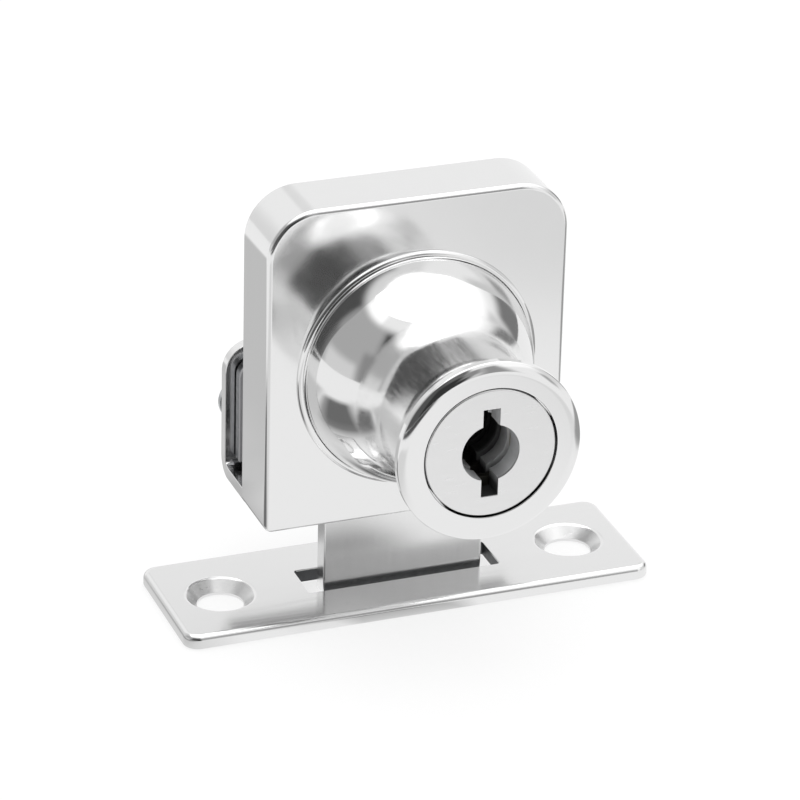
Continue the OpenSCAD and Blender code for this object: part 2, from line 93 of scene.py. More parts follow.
def colour(name, description, code):
    """A colour property whose default is an sRGB hex code."""
    return bpy.props.FloatVectorProperty(
        name=name, description=description, default=linear(code), min=0.0, max=1.0,
        size=3, subtype="COLOR")


def share(name, description, value):
    """A property from 0 to 1."""
    return bpy.props.FloatProperty(
        name=name, description=description, default=value, min=0.0, max=1.0, subtype="FACTOR")


class LockSizes(bpy.types.PropertyGroup):
    """Sizes of the dressed pieces"""
    strike_corner: size("Strike corner", "Corner radius of the strike plate", 1.5)
    strike_edge: size("Strike edge", "Rounding of the strike plate's upper edge", 0.6)
    strike_under: size("Strike underside", "Rounding of the strike plate's lower edge", 0.2)
    strike_spacing: size("Strike holes", "Distance between the strike's two holes", 36.4)
    strike_hole: size("Strike hole", "Diameter of the strike's holes", 4.6)
    strike_countersink: size("Countersink", "Diameter of the countersinks", 6.8)
    strike_lip: size("Countersink lip", "Rounding of the countersinks' upper rims", 0.5)
    slot_half: size("Slot half length", "Half the length of the bolt's slot", 9.9)
    slot_front: size("Slot front", "Distance of the slot's front edge from the middle", 2.5)
    slot_back: size("Slot back", "Distance of the slot's back edge from the middle", 2.2)
    case_top: size("Case top corners", "Radius of the case's two top corners", 5.0)
    case_bottom: size("Case bottom corners", "Radius of the case's two bottom corners", 0.8)
    case_edge: size("Case edge", "Rounding of the case's front edge at the sides and the top", 0.5)
    case_low_edge: size("Case low edge", "Drop of the small rounding at the bottom of the front edge", 0.3)
    case_wall: size("Case wall", "Wall thickness of the case", 1.3)
    cam_hole: size("Cam hole", "Radius of the case's round opening behind the knob", 6.8)
    cover: size("Cover", "Thickness of the rear cover that closes the case", 1.2)
    rail: size("Rails", "Width of the rails on each side of the bolt", 1.3)
    post: size("Posts", "Radius of the posts that take the cover screws", 2.1)
    cover_screw: size("Cover screws", "Thread diameter of the cover screws", 2.0)
    cover_head: size("Cover screw heads", "Head diameter of the cover screws", 3.6)
    knob_screw: size("Knob screws", "Thread diameter of the knob screws", 2.4)
    knob_head: size("Knob screw heads", "Head diameter of the knob screws", 4.2)
    foot_round: size("Foot bead", "Rounding of the bead round the knob's foot", 0.4)
    foot_groove: size("Foot groove", "Width of the fine groove between the bead and the dome", 0.1)
    foot_step: size("Foot step", "Difference in radius between the foot and the dome's ball", 0.55)
    dome_sink: size("Dome sink", "Depth of the ball's middle behind the case's face", 0.9)
    neck: size("Neck", "Radius of the knob's neck", 7.4)
    neck_curve: size("Neck curve", "Radius of the hollow curves at the neck", 5.0)
    flange: size("Flange", "Radius of the knob's flange", 9.0)
    flange_rim: size("Flange rim", "Thickness of the flange's rim", 1.15)
    flange_crown: size("Flange crown", "Radius of the crowned border of the flange's face", 1.8)
    flange_edge: size("Flange edge", "Rounding of the flange's outer edge", 0.25)
    flange_bore: size("Flange bore", "Radius of the recess that takes the plug's head", 6.55)
    plug_bore: size("Plug bore", "Radius of the knob's bore", 5.75)
    plug_head: size("Plug head", "Thickness of the plug's head", 1.5)
    plug_body: size("Plug body", "Radius of the plug's body", 5.7)
    tail: size("Plug tail", "Side of the plug's square tail", 4.6)
    keyway_round: size("Keyway round", "Radius of the keyway's round part", 2.8)
    keyway_wing: size("Keyway wings", "Width of the keyway's wings", 1.6)
    keyway_height: size("Keyway height", "Height of the keyway over its wings", 8.8)
    keyway_depth: size("Keyway depth", "Depth of the keyway", 14.6)
    bolt_corner: size("Bolt corner", "Rounding of the bolt's lower corners", 0.5)
    bolt_throw: size("Bolt throw", "Travel of the bolt over half a turn of the key", 9.4)
    clamp_head: size("Clamp screw heads", "Head diameter of the clamp screws", 5.0)
    clamp_head_height: size("Clamp head height", "Head height of the clamp screws", 1.9)
    clamp_thread: size("Clamp threads", "Outer diameter of the clamp screws' threads", 3.0)
    clamp_pitch: size("Clamp pitch", "Pitch of the clamp screws' threads", 0.5)
    clamp_spigot: size("Clamp spigots", "Diameter of the spigots that carry the pressure plate", 1.8)


class LockFinishes(bpy.types.PropertyGroup):
    """Colours and gloss of the finishes"""
    chrome: colour("Chrome", "Chrome on the case and the knob", "#E8E8E8")
    nickel: colour("Nickel", "Nickel on the strike, the bolt and the bracket", "#E8E8E8")
    satin: colour("Satin nickel", "Satin nickel on the plug's face", "#E4E4E4")
    zinc: colour("Zinc", "Zinc plating on the screws", "#C4C6C8")
    brass: colour("Wafer metal", "Pale nickel brass of the wafers", "#B9B4A6")
    steel: colour("Steel", "Plain steel of the inner parts", "#8F9194")
    raw_zinc: colour("Raw zinc", "Bare zinc inside the keyway", "#D0D1D2")
    # Dark colour of the slot's walls: sheared steel, darkened further as painted shade of the slot
    punched: colour("Punched steel", "Dark sheared steel in the strike's slot", "#4A4B4C")
    rubber: colour("Rubber", "Grey rubber of the glass pads", "#6E6F71")
    chrome_roughness: share("Chrome roughness", "Roughness of the knob's bright chrome", 0.075)
    neck_roughness: share("Neck roughness", "Roughness of the turned chrome on the knob's neck", 0.18)
    buffed_roughness: share("Buffed roughness", "Roughness of the case's buffed chrome", 0.11)
    nickel_roughness: share("Nickel roughness", "Roughness of the strike's and the bracket's nickel", 0.15)
    bolt_roughness: share("Bolt roughness", "Roughness of the bolt's rolled faces", 0.24)
    satin_roughness: share("Satin roughness", "Roughness of the satin nickel", 0.32)
    zinc_roughness: share("Zinc roughness", "Roughness of the screws' zinc plating", 0.25)
    brass_roughness: share("Wafer roughness", "Roughness of the blanked wafers", 0.5)
    steel_roughness: share("Steel roughness", "Roughness of the oiled inner parts", 0.35)
    raw_zinc_roughness: share("Raw zinc roughness", "Roughness of the bare zinc in the keyway", 0.6)
    punched_roughness: share("Punched roughness", "Roughness of the sheared steel in the slot", 0.45)
    rubber_roughness: share("Rubber roughness", "Roughness of the glass pads", 0.65)


class LockStage(bpy.types.PropertyGroup):
    """Floor, light and camera"""
    floor: colour("Floor", "Colour of the studio floor", "#F4F4F4")
    softbox_size: size("Softbox", "Diameter of the softbox overhead", 560.0)
    softbox_power: bpy.props.FloatProperty(
        name="Softbox power", description="Power of the softbox overhead, in watts", default=1.0, min=0.0)
    fill: share("Fill", "Strength of the even light from all around", 1.0)
    lens: bpy.props.FloatProperty(
        name="Lens", description="Focal length of the camera", default=195.88, min=1.0, unit="CAMERA")


# Mesh helpers

# Smallest corner radius, and distances within which points are merged, in millimetres
LEAST_CORNER, MERGE, CAD_MERGE = 0.02, 1e-5, 1e-4
# Angle in degrees under which two faces of a CAD node count as one
CAD_FLAT = 0.5


def along_z(u, v, w):
    """A flat outline in X and Y, raised to w."""
    return Vector((u, v, w))


def along_y(u, v, w):
    """A flat outline in X and Z, set at depth w."""
    return Vector((u, w, v))


def knob_axis(u, v, w):
    """A flat outline round the knob's axis, w in front of the case."""
    return Vector((u, CASE_LOW.y - w, AXIS_Z + v))


def circle(radius, steps, u=0.0, v=0.0):
    """Points of a circle."""
    turns = [2 * math.pi * i / steps for i in range(steps)]
    return [(u + radius * math.cos(a), v + radius * math.sin(a)) for a in turns]


def arc(u, v, radius, start, end, steps):
    """Points of an arc between two angles in degrees."""
    angles = [math.radians(start + (end - start) * i / steps) for i in range(steps + 1)]
    return [(u + radius * math.cos(a), v + radius * math.sin(a)) for a in angles]


def rounded_box(low, high, radii, steps, inset=0.0, low_inset=None):
    """Rectangle with rounded corners: radii run low right, high right, high left, low left."""
    low_inset = inset if low_inset is None else low_inset
    corners = ((1, -1, -90), (1, 1, 0), (-1, 1, 90), (-1, -1, 180))
    points = []
    for (right, top, start), radius in zip(corners, radii):
        r = max(radius - inset, LEAST_CORNER)
        u = (high[0] - inset - r) if right > 0 else (low[0] + inset + r)
        v = (high[1] - inset - r) if top > 0 else (low[1] + low_inset + r)
        points += arc(u, v, r, start, start + 90, steps)
    return points


def ring(bm, points, place, w):
    """New vertices along a flat outline."""
    return [bm.verts.new(place(u, v, w)) for u, v in points]


def bridge(bm, first, second):
    """Closes the wall between two rings of as many points."""
    for i in range(len(first)):
        j = (i + 1) % len(first)
        bm.faces.new((first[i], first[j], second[j], second[i]))


def loft(bm, rings):
    """Closes the walls between rings that follow each other."""
    for first, second in zip(rings, rings[1:]):
        bridge(bm, first, second)


def cap(bm, *rings):
    """Fills the flat area inside the first ring and outside the others."""
    edges = []
    for points in rings:
        for a, b in zip(points, points[1:] + points[:1]):
            edges.append(bm.edges.get((a, b)) or bm.edges.new((a, b)))
    bmesh.ops.triangle_fill(bm, use_beauty=True, edges=edges)


def quarter_round(radius, steps):
    """Inset and drop of each step of a rounded edge, from the flat face to the side."""
    angles = [math.pi / 2 * i / steps for i in range(steps + 1)]
    return [(radius * (1 - math.sin(a)), radius * (1 - math.cos(a))) for a in angles]


def slab(bm, place, low, high, outer, low_edge, high_edge, holes=(), steps=4):
    """Flat plate from low to high with rounded rims; a hole is a list of outlines and their heights."""
    rims = [(inset, low + drop) for inset, drop in quarter_round(low_edge, steps)]
    rims += [(inset, high - drop) for inset, drop in reversed(quarter_round(high_edge, steps))]
    walls = [ring(bm, outer(inset), place, w) for inset, w in rims]
    bores = [[ring(bm, points, place, w) for points, w in hole] for hole in holes]
    for rings in (walls, *bores):
        loft(bm, rings)
    cap(bm, walls[0], *[bore[0] for bore in bores])
    cap(bm, walls[-1], *[bore[-1] for bore in bores])


def lathe(bm, profile, place, steps):
    """Turns a closed half outline of radius and height about the axis of place."""
    rings = [ring(bm, circle(radius, steps), place, height) for radius, height in profile]
    loft(bm, rings + rings[:1])


def prism(bm, points, place, low, high):
    """Straight solid between two depths of a flat outline."""
    ends = [ring(bm, points, place, w) for w in (low, high)]
    bridge(bm, *ends)
    for end in ends:
        cap(bm, end)


def block(bm, low, high):
    """Plain box between two corners, used to cut or to join."""
    low, high = Vector(low), Vector(high)
    place = Matrix.Translation((low + high) / 2) @ Matrix.Diagonal((*(high - low), 1))
    bmesh.ops.create_cube(bm, size=1, matrix=place)


def to_object(bm, name):
    """Turns a closed bmesh into an object with its faces outwards."""
    bmesh.ops.remove_doubles(bm, verts=bm.verts, dist=MERGE)
    bmesh.ops.recalc_face_normals(bm, faces=bm.faces)
    mesh = bpy.data.meshes.new(name)
    bm.to_mesh(mesh)
    bm.free()
    obj = bpy.data.objects.new(name, mesh)
    bpy.context.scene.collection.objects.link(obj)
    return obj


def bake(obj):
    """Turns an object's modifiers into its plain mesh."""
    graph = bpy.context.evaluated_depsgraph_get()
    mesh = bpy.data.meshes.new_from_object(obj.evaluated_get(graph), depsgraph=graph)
    obj.modifiers.clear()
    obj.data = mesh


def combine(obj, bm, operation):
    """Joins a closed bmesh to an object, or cuts it away."""
    tool = to_object(bm, obj.name + "_tool")
    modifier = obj.modifiers.new("Tool", "BOOLEAN")
    modifier.object = tool
    modifier.operation = operation
    modifier.solver = "EXACT"
    bake(obj)
    bpy.data.objects.remove(tool)


def bevel(obj, width, steps=3, angle=40):
    """Rounds every edge that is sharper than the angle."""
    modifier = obj.modifiers.new("Edges", "BEVEL")
    modifier.width = width
    modifier.segments = steps
    modifier.limit_method = "ANGLE"
    modifier.angle_limit = math.radians(angle)
    modifier.use_clamp_overlap = True
    bake(obj)


def shade(obj, angle=35):
    """Smooth shading that keeps flat faces flat up to their rounded rims."""
    obj.data.shade_smooth()
    obj.data.set_sharp_from_angle(angle=math.radians(angle))
    modifier = obj.modifiers.new("Normals", "WEIGHTED_NORMAL")
    modifier.mode = "FACE_AREA"
    modifier.weight = 100
    modifier.keep_sharp = True
    bake(obj)


def finish_faces(obj, index, test):
    """Gives the faces that pass the test another of the piece's finishes."""
    for face in obj.data.polygons:
        if test(face):
            face.material_index = index


def finish_piece(obj, body, nodes, slot, *finishes):
    """Scales a piece to metres, gives it its finishes and sets it on its body."""
    obj.data.transform(Matrix.Scale(MM, 4))
    for name in finishes:
        if name not in obj.data.materials:
            obj.data.materials.append(finish(name))
    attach(obj, body)
    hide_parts(*nodes)


def copy_node(node, name, edge):
    """Merged copy of a CAD node in millimetres, with its sharp edges rounded."""
    bm = bmesh.new()
    bm.from_mesh(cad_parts[node].data)
    bmesh.ops.transform(bm, matrix=Matrix.Scale(1 / MM, 4), verts=bm.verts)
    bmesh.ops.remove_doubles(bm, verts=bm.verts, dist=CAD_MERGE)
    bmesh.ops.dissolve_limit(
        bm, angle_limit=math.radians(CAD_FLAT), verts=bm.verts, edges=bm.edges)
    obj = to_object(bm, name)
    bevel(obj, edge)
    return obj


# Finishes

def add_node(tree, kind, inputs=None, **settings):
    """Adds a node; inputs maps each socket to a value or to the output that feeds it."""
    made = tree.nodes.new(kind)
    for name, value in settings.items():
        setattr(made, name, value)
    for key, value in (inputs or {}).items():
        if isinstance(value, bpy.types.NodeSocket):
            tree.links.new(value, made.inputs[key])
        else:
            made.inputs[key].default_value = value
    return made


def new_material(name):
    """Empty node material with its output, ready for a shader."""
    material = bpy.data.materials.get(name)
    if material is not None:
        return material, None, None
    material = bpy.data.materials.new(name)
    material.use_nodes = True
    tree = material.node_tree
    tree.nodes.clear()
    return material, tree, add_node(tree, "ShaderNodeOutputMaterial")


# Places in millimetres between which the keyway's metal is darkened from its own colour to near black,
# painted shade deep inside and low down: inwards, downwards
KEYWAY_PAINTED_SHADE = (("Y", -20.0, -17.2), ("Z", 22.9, 21.3))
# Share of the metal's colour that the darkest painted shade leaves
PAINTED_SHADE_TONE = 0.08

# Each metal: its colour and roughness in LockFinishes, spread of the roughness, stretch of the marks along
# X, Y and Z, width of the marks, width and height of the waves in millimetres, metallic, painted shade.
# Real polishing and rolling marks are hundredths of a millimetre wide, too fine to show in the render.
# They are drawn as coarse as they need to show.
METALS = {
    # Polished zinc casting under bright chrome: a mirror with the faint waves of hand polishing
    "bright_chrome": ("chrome", "chrome_roughness", 0.015, (1, 1, 1), 1.5, 7.0, 0.006, 1.0, ()),
    # Buffed zinc casting under chrome: a mirror whose images are a little blurred
    "buffed_chrome": ("chrome", "buffed_roughness", 0.02, (1, 1, 1), 1.5, 9.0, 0.008, 1.0, ()),
    # Neck that the polishing wheel hardly reaches: chrome over fine turning marks, its images smeared
    "turned_chrome": ("chrome", "neck_roughness", 0.05, (1, 0.15, 1), 0.3, 9.0, 0.008, 1.0, ()),
    # Stamped steel under nickel: a softer mirror with fine rolling marks along the sheet
    "nickel_plate": ("nickel", "nickel_roughness", 0.03, (0.05, 1, 1), 0.25, 9.0, 0.008, 1.0, ()),
    # Rolled bar under nickel: a broad soft sheen drawn out along the bolt
    "rolled_nickel": ("nickel", "bolt_roughness", 0.015, (1, 1, 0.05), 0.25, 8.0, 0.008, 1.0, ()),
    # Linished face under nickel: an even satin sheen without a clear mirror image
    "satin_nickel": ("satin", "satin_roughness", 0.05, (0.08, 1, 1), 0.2, 6.0, 0.004, 1.0, ()),
    # Zinc plated screw steel: pale and slightly cloudy
    "zinc_screw": ("zinc", "zinc_roughness", 0.06, (1, 1, 1), 0.6, 3.0, 0.004, 1.0, ()),
    # Blanked nickel brass sheet: warm grey with a dull edge, darkened by painted shade deep in the keyway
    "nickel_brass": ("brass", "brass_roughness", 0.08, (1, 1, 0.1), 0.3, 3.0, 0.003, 0.8, KEYWAY_PAINTED_SHADE),
    # Oiled steel of the inner parts: mid grey and half matt
    "bare_steel": ("steel", "steel_roughness", 0.08, (1, 0.1, 1), 0.4, 3.0, 0.004, 1.0, ()),
    # Bare die-cast zinc inside the keyway: dull pale grey, its cast skin half hidden by oxide, darkened by
    # painted shade deeper in and lower down
    "raw_zinc": ("raw_zinc", "raw_zinc_roughness", 0.1, (1, 1, 1), 0.5, 1.2, 0.01, 0.5, KEYWAY_PAINTED_SHADE),
    # Sheared edge of the strike's slot: rough and drawn downwards by the punch, dark both as sheared steel
    # and as painted shade of the slot
    "punched_steel": ("punched", "punched_roughness", 0.12, (1, 1, 0.1), 0.2, 0.8, 0.01, 1.0, ()),
}


def metal(name):
    """Metal with marks in its gloss along one way, slow waves in its mirror and painted shade along two
    axes.
    """
    material, tree, output = new_material(name)
    if tree is None:
        return material
    tint, roughness, spread, stretch, mark_mm, wave_mm, wave_height, metallic, painted_shade = METALS[name]
    finishes = bpy.context.scene.lock_finishes
    base, roughness = getattr(finishes, tint), getattr(finishes, roughness)
    place = add_node(tree, "ShaderNodeTexCoord").outputs["Object"]
    along = add_node(tree, "ShaderNodeMapping", {"Vector": place, "Scale": stretch})
    marks = add_node(tree, "ShaderNodeTexNoise", {
        "Vector": along.outputs["Vector"], "Scale": 1 / (mark_mm * MM), "Detail": 4.0})
    gloss = add_node(tree, "ShaderNodeMapRange", {
        "Value": marks.outputs["Fac"], "From Min": 0.3, "From Max": 0.7,
        "To Min": roughness - spread, "To Max": roughness + spread})
    wave = add_node(tree, "ShaderNodeTexNoise", {
        "Vector": place, "Scale": 1 / (wave_mm * MM), "Detail": 1.0})
    bump = add_node(tree, "ShaderNodeBump", {
        "Height": wave.outputs["Fac"], "Strength": 1.0, "Distance": wave_height * MM})
    shader = add_node(tree, "ShaderNodeBsdfPrincipled", {
        "Base Color": (*base, 1.0), "Metallic": metallic,
        "Roughness": gloss.outputs["Result"], "Normal": bump.outputs["Normal"]})
    # Painted shade: the colour falls towards black deeper in the keyway and lower down
    if painted_shade:
        axes = add_node(tree, "ShaderNodeSeparateXYZ", {"Vector": place}).outputs
        shaded = [add_node(tree, "ShaderNodeMapRange", {
            "Value": axes[axis], "From Min": clean * MM, "From Max": black * MM})
            for axis, clean, black in painted_shade]
        most = add_node(tree, "ShaderNodeMath", {
            0: shaded[0].outputs["Result"], 1: shaded[1].outputs["Result"]}, operation="MAXIMUM")
        tone = add_node(tree, "ShaderNodeValToRGB", {"Fac": most.outputs[0]})
        tone.color_ramp.elements[0].color = (*base, 1.0)
        tone.color_ramp.elements[1].color = (*[c * PAINTED_SHADE_TONE for c in base], 1.0)
        tree.links.new(tone.outputs["Color"], shader.inputs["Base Color"])
    tree.links.new(shader.outputs["BSDF"], output.inputs["Surface"])
    return material


# Moulded rubber: grain and its depth in millimetres, and the tones of its pits and its skin
RUBBER_GRAIN, RUBBER_DEPTH = 0.3, 0.03
RUBBER_TONES = (0.8, 1.3)


def rubber(name):
    """Moulded grey rubber: matt with a fine grain."""
    material, tree, output = new_material(name)
    if tree is None:
        return material
    finishes = bpy.context.scene.lock_finishes
    place = add_node(tree, "ShaderNodeTexCoord").outputs["Object"]
    grain = add_node(tree, "ShaderNodeTexNoise", {
        "Vector": place, "Scale": 1 / (RUBBER_GRAIN * MM), "Detail": 3.0})
    tone = add_node(tree, "ShaderNodeValToRGB", {"Fac": grain.outputs["Fac"]})
    for stop, amount in zip(tone.color_ramp.elements, RUBBER_TONES):
        stop.color = (*[c * amount for c in finishes.rubber], 1.0)
    bump = add_node(tree, "ShaderNodeBump", {
        "Height": grain.outputs["Fac"], "Strength": 0.6, "Distance": RUBBER_DEPTH * MM})
    shader = add_node(tree, "ShaderNodeBsdfPrincipled", {
        "Base Color": tone.outputs["Color"], "Roughness": finishes.rubber_roughness,
        "Normal": bump.outputs["Normal"]})
    tree.links.new(shader.outputs["BSDF"], output.inputs["Surface"])
    return material


def finish(name):
    """Material of a finish by its name."""
    return metal(name) if name in METALS else rubber(name)


# Screws that geometry trees grow on points

SCREW_SIDES, CLAMP_HEAD_SIDES, CLAMP_HEAD_RINGS = 48, 64, 48
THREAD_STEPS, RIDGE_SIDES = 32, 4
# Height of a thread's ridge over its core, as a share of the pitch
RIDGE = 0.36
# Radius of the clamp screws' domed heads and reach of a driver slot's cutter, as shares of the diameter
HEAD_CROWN, SLOT_REACH = 0.62, 1.2


def new_tree(name, sizes, sums):
    """Geometry tree with points, sizes and a material as inputs, and the lengths worked out from them."""
    tree = bpy.data.node_groups.new(name, "GeometryNodeTree")
    sockets = [("Geometry", "INPUT", "NodeSocketGeometry")]
    sockets += [(label, "INPUT", "NodeSocketFloat") for label in sizes]
    sockets += [("Material", "INPUT", "NodeSocketMaterial"), ("Geometry", "OUTPUT", "NodeSocketGeometry")]
    for label, way, kind in sockets:
        tree.interface.new_socket(label, in_out=way, socket_type=kind)
    given = dict(add_node(tree, "NodeGroupInput").outputs.items())
    for label, operation, first, second in sums:
        terms = {0: given.get(first, first), 1: given.get(second, second)}
        given[label] = add_node(tree, "ShaderNodeMath", terms, operation=operation).outputs[0]
    return tree, given


def end_tree(tree, given, screw):
    """Sets the finished screw on every point, pointing forwards, and closes the tree."""
    screws = add_node(tree, "GeometryNodeInstanceOnPoints", {
        "Points": given["Geometry"], "Instance": screw, "Rotation": (math.pi / 2, 0, 0)})
    plain = add_node(tree, "GeometryNodeRealizeInstances", {"Geometry": screws.outputs["Instances"]})
    dressed = add_node(tree, "GeometryNodeSetMaterial", {
        "Geometry": plain.outputs["Geometry"], "Material": given["Material"]})
    add_node(tree, "NodeGroupOutput", {"Geometry": dressed.outputs["Geometry"]})
    return tree


def countersunk_tree():
    """Slotted countersunk screw: a cone head, a plain shank and a driver slot."""
    tree, given = new_tree("countersunk_screws", ("Head", "Thread", "Length", "Slot width", "Slot depth"), (
        ("head", "MULTIPLY", "Head", 0.5),
        ("thread", "MULTIPLY", "Thread", 0.5),
        ("rise", "SUBTRACT", "head", "thread"),
        ("slot", "MULTIPLY", "Slot depth", 2.0),
        ("reach", "MULTIPLY", "Head", SLOT_REACH),
    ))
    solid = add_node(tree, "GeometryNodeMeshBoolean", operation="UNION", solver="EXACT")
    for radius, depth in (("head", "rise"), ("thread", "Length")):
        part = add_node(tree, "GeometryNodeMeshCone", {
            "Vertices": SCREW_SIDES, "Radius Top": given["thread"], "Radius Bottom": given[radius],
            "Depth": given[depth]})
        tree.links.new(part.outputs["Mesh"], solid.inputs[1])
    box = add_node(tree, "ShaderNodeCombineXYZ", {
        "X": given["reach"], "Y": given["Slot width"], "Z": given["slot"]})
    bar = add_node(tree, "GeometryNodeMeshCube", {"Size": box.outputs[0]})
    slotted = add_node(tree, "GeometryNodeMeshBoolean", {
        0: solid.outputs["Mesh"], 1: bar.outputs["Mesh"]}, operation="DIFFERENCE", solver="EXACT")
    return end_tree(tree, given, slotted.outputs["Mesh"])


def clamp_screw_tree():
    """Slotted screw: a domed head, a helical thread on a core and a plain spigot."""
    sizes = ("Head", "Head height", "Thread", "Pitch", "Shank", "Spigot", "Spigot length",
             "Slot width", "Slot depth")
    tree, given = new_tree("clamp_screws", sizes, (
        ("head", "MULTIPLY", "Head", 0.5),
        ("thread", "MULTIPLY", "Thread", 0.5),
        ("ridge", "MULTIPLY", "Pitch", RIDGE),
        ("core", "SUBTRACT", "thread", "ridge"),
        ("spigot", "MULTIPLY", "Spigot", 0.5),
        ("length", "ADD", "Shank", "Spigot length"),
        ("crown", "MULTIPLY", "Head", HEAD_CROWN),
        ("drop", "SUBTRACT", "crown", "Head height"),
        ("back", "MULTIPLY", "Head height", -1.0),
        ("slot", "MULTIPLY", "Slot depth", 2.0),
        ("turns", "DIVIDE", "Shank", "Pitch"),
    ))
    ball = add_node(tree, "GeometryNodeMeshUVSphere", {
        "Segments": CLAMP_HEAD_SIDES, "Rings": CLAMP_HEAD_RINGS, "Radius": given["crown"]})
    drum, rod, pin = [add_node(tree, "GeometryNodeMeshCone", {
        "Vertices": sides, "Radius Top": given[radius], "Radius Bottom": given[radius],
        "Depth": given[depth]})
        for sides, radius, depth in (
            (CLAMP_HEAD_SIDES, "head", "Head height"),
            (SCREW_SIDES, "core", "Shank"),
            (SCREW_SIDES, "spigot", "length"))]
    domed = add_node(tree, "GeometryNodeMeshBoolean", operation="INTERSECT", solver="EXACT")
    for part, height in ((ball, "drop"), (drum, "back")):
        at = add_node(tree, "ShaderNodeCombineXYZ", {"Z": given[height]})
        part = add_node(tree, "GeometryNodeTransform", {
            "Geometry": part.outputs["Mesh"], "Translation": at.outputs[0]})
        tree.links.new(part.outputs["Geometry"], domed.inputs[1])
    box = add_node(tree, "ShaderNodeCombineXYZ", {
        "X": given["Head"], "Y": given["Slot width"], "Z": given["slot"]})
    bar = add_node(tree, "GeometryNodeMeshCube", {"Size": box.outputs[0]})
    bar = add_node(tree, "GeometryNodeTransform", {
        "Geometry": bar.outputs["Mesh"], "Translation": at.outputs[0], "Scale": (SLOT_REACH, 1, 1)})
    slotted = add_node(tree, "GeometryNodeMeshBoolean", {
        0: domed.outputs["Mesh"], 1: bar.outputs["Geometry"]}, operation="DIFFERENCE", solver="EXACT")
    path = add_node(tree, "GeometryNodeCurveSpiral", {
        "Resolution": THREAD_STEPS, "Rotations": given["turns"], "Start Radius": given["core"],
        "End Radius": given["core"], "Height": given["Shank"]})
    shape = add_node(tree, "GeometryNodeCurvePrimitiveCircle", {
        "Resolution": RIDGE_SIDES, "Radius": given["ridge"]})
    helix = add_node(tree, "GeometryNodeCurveToMesh", {
        "Curve": path.outputs["Curve"], "Profile Curve": shape.outputs["Curve"], "Fill Caps": True})
    solid = add_node(tree, "GeometryNodeMeshBoolean", operation="UNION", solver="EXACT")
    for part in (slotted, rod, pin, helix):
        tree.links.new(part.outputs["Mesh"], solid.inputs[1])
    return end_tree(tree, given, solid.outputs["Mesh"])


def grow(tree, name, places, values, material):
    """Plain mesh of the screws that a tree grows on the places."""
    mesh = bpy.data.meshes.new(name)
    mesh.from_pydata(places, [], [])
    obj = bpy.data.objects.new(name, mesh)
    bpy.context.scene.collection.objects.link(obj)
    modifier = obj.modifiers.new("Screws", "NODES")
    modifier.node_group = tree
    sockets = {item.name: item.identifier for item in tree.interface.items_tree if item.in_out == "INPUT"}
    for label, value in values.items():
        modifier[sockets[label]] = value
    modifier[sockets["Material"]] = material
    bake(obj)
    if not obj.data.polygons:
        raise RuntimeError("No screws grew for " + name)
    return obj


# Places and small lengths in millimetres that several pieces share

# Room beside what slides and past the tip of a screw
ROOM = 0.1
# Room beside a wafer, and round its ends and its spring
WAFER_GAP, WAFER_ROOM = 0.05, 0.15
# Room round the thread of a screw, and sides of its bore
BORE_GAP, BORE_SIDES = 0.03, 32
# How far a cutter reaches past the face that it opens
CUT = 1.0
# Place of the middle point of a small rounded lip, as a share of the lip
LIP_MIDDLE = 0.3


def cover_places(s):
    """X and Z of the four cover screws."""
    low, high = box_mm("cover_screws")
    r = mm(s.cover_head) / 2
    return [(x, z) for x in (low.x + r, high.x - r) for z in (low.z + r, high.z - r)]


def knob_screw_heights(s):
    """Z of the two knob screws, on the knob's own plane."""
    low, high = box_mm("knob_screws")
    r = mm(s.knob_head) / 2
    return [low.z + r, high.z - r]


def knob_bores(s, bm, front, back):
    """Bores for the two knob screws between two depths."""
    for z in knob_screw_heights(s):
        prism(bm, circle(mm(s.knob_screw) / 2 + BORE_GAP, BORE_SIDES, 0.0, z), along_y, front, back)


# Pieces

class LOCK_OT_strike_plate(bpy.types.Operator):
    """Builds the strike plate with its countersinks and the bolt's slot"""
    bl_idname = "lock.strike_plate"
    bl_label = "Strike plate"

    def execute(self, context):
        s = context.scene.lock_sizes
        top, lip, soft = STRIKE_HIGH.z, 0.12, mm(s.strike_lip)
        hole_r, wide_r = mm(s.strike_hole) / 2, mm(s.strike_countersink) / 2
        half, front, back = mm(s.slot_half), mm(s.slot_front), mm(s.slot_back)
        slot_corner, burr = 0.25, 0.05

        def outer(inset):
            return rounded_box(STRIKE_LOW, STRIKE_HIGH, [mm(s.strike_corner)] * 4, 10, inset)

        def slot(inset):
            return rounded_box((-half, -front), (half, back), [slot_corner] * 4, 4, inset)

        holes = []
        for side in (-1, 1):
            x = side * mm(s.strike_spacing) / 2
            steps = [(hole_r + burr, 0.0), (hole_r, burr), (hole_r, top - (wide_r - hole_r))]
            steps += arc(wide_r + soft * math.tan(math.pi / 8), top - soft, soft, 135, 90, 6)
            holes.append([(circle(r, 72, x), z) for r, z in steps])
        holes.append([(slot(inset), z) for inset, z in (
            (-burr, 0.0), (0.0, burr), (0.0, top - lip),
            (-LIP_MIDDLE * lip, top - LIP_MIDDLE * lip), (-lip, top))])
        bm = bmesh.new()
        slab(bm, along_z, STRIKE_LOW.z, top, outer, mm(s.strike_under), mm(s.strike_edge), holes, steps=8)
        obj = to_object(bm, "strike")
        shade(obj)
        near, upright, sloping = 0.01, 0.5, 0.9
        # The slot's walls get the dark punched steel, which also paints the slot's shade
        finish_faces(obj, 1, lambda face: abs(face.center.x) < half + near and
                     -front - near < face.center.y < back + near and abs(face.normal.z) < upright)
        middle, reach = mm(s.strike_spacing) / 2, wide_r - soft / 4
        finish_faces(obj, 2, lambda face: abs(face.normal.z) < sloping and math.hypot(
            abs(face.center.x) - middle, face.center.y) < reach)
        finish_piece(obj, "strike", ["strike_plate"], "strike_plating",
                     "nickel_plate", "punched_steel", "satin_nickel")
        return {"FINISHED"}


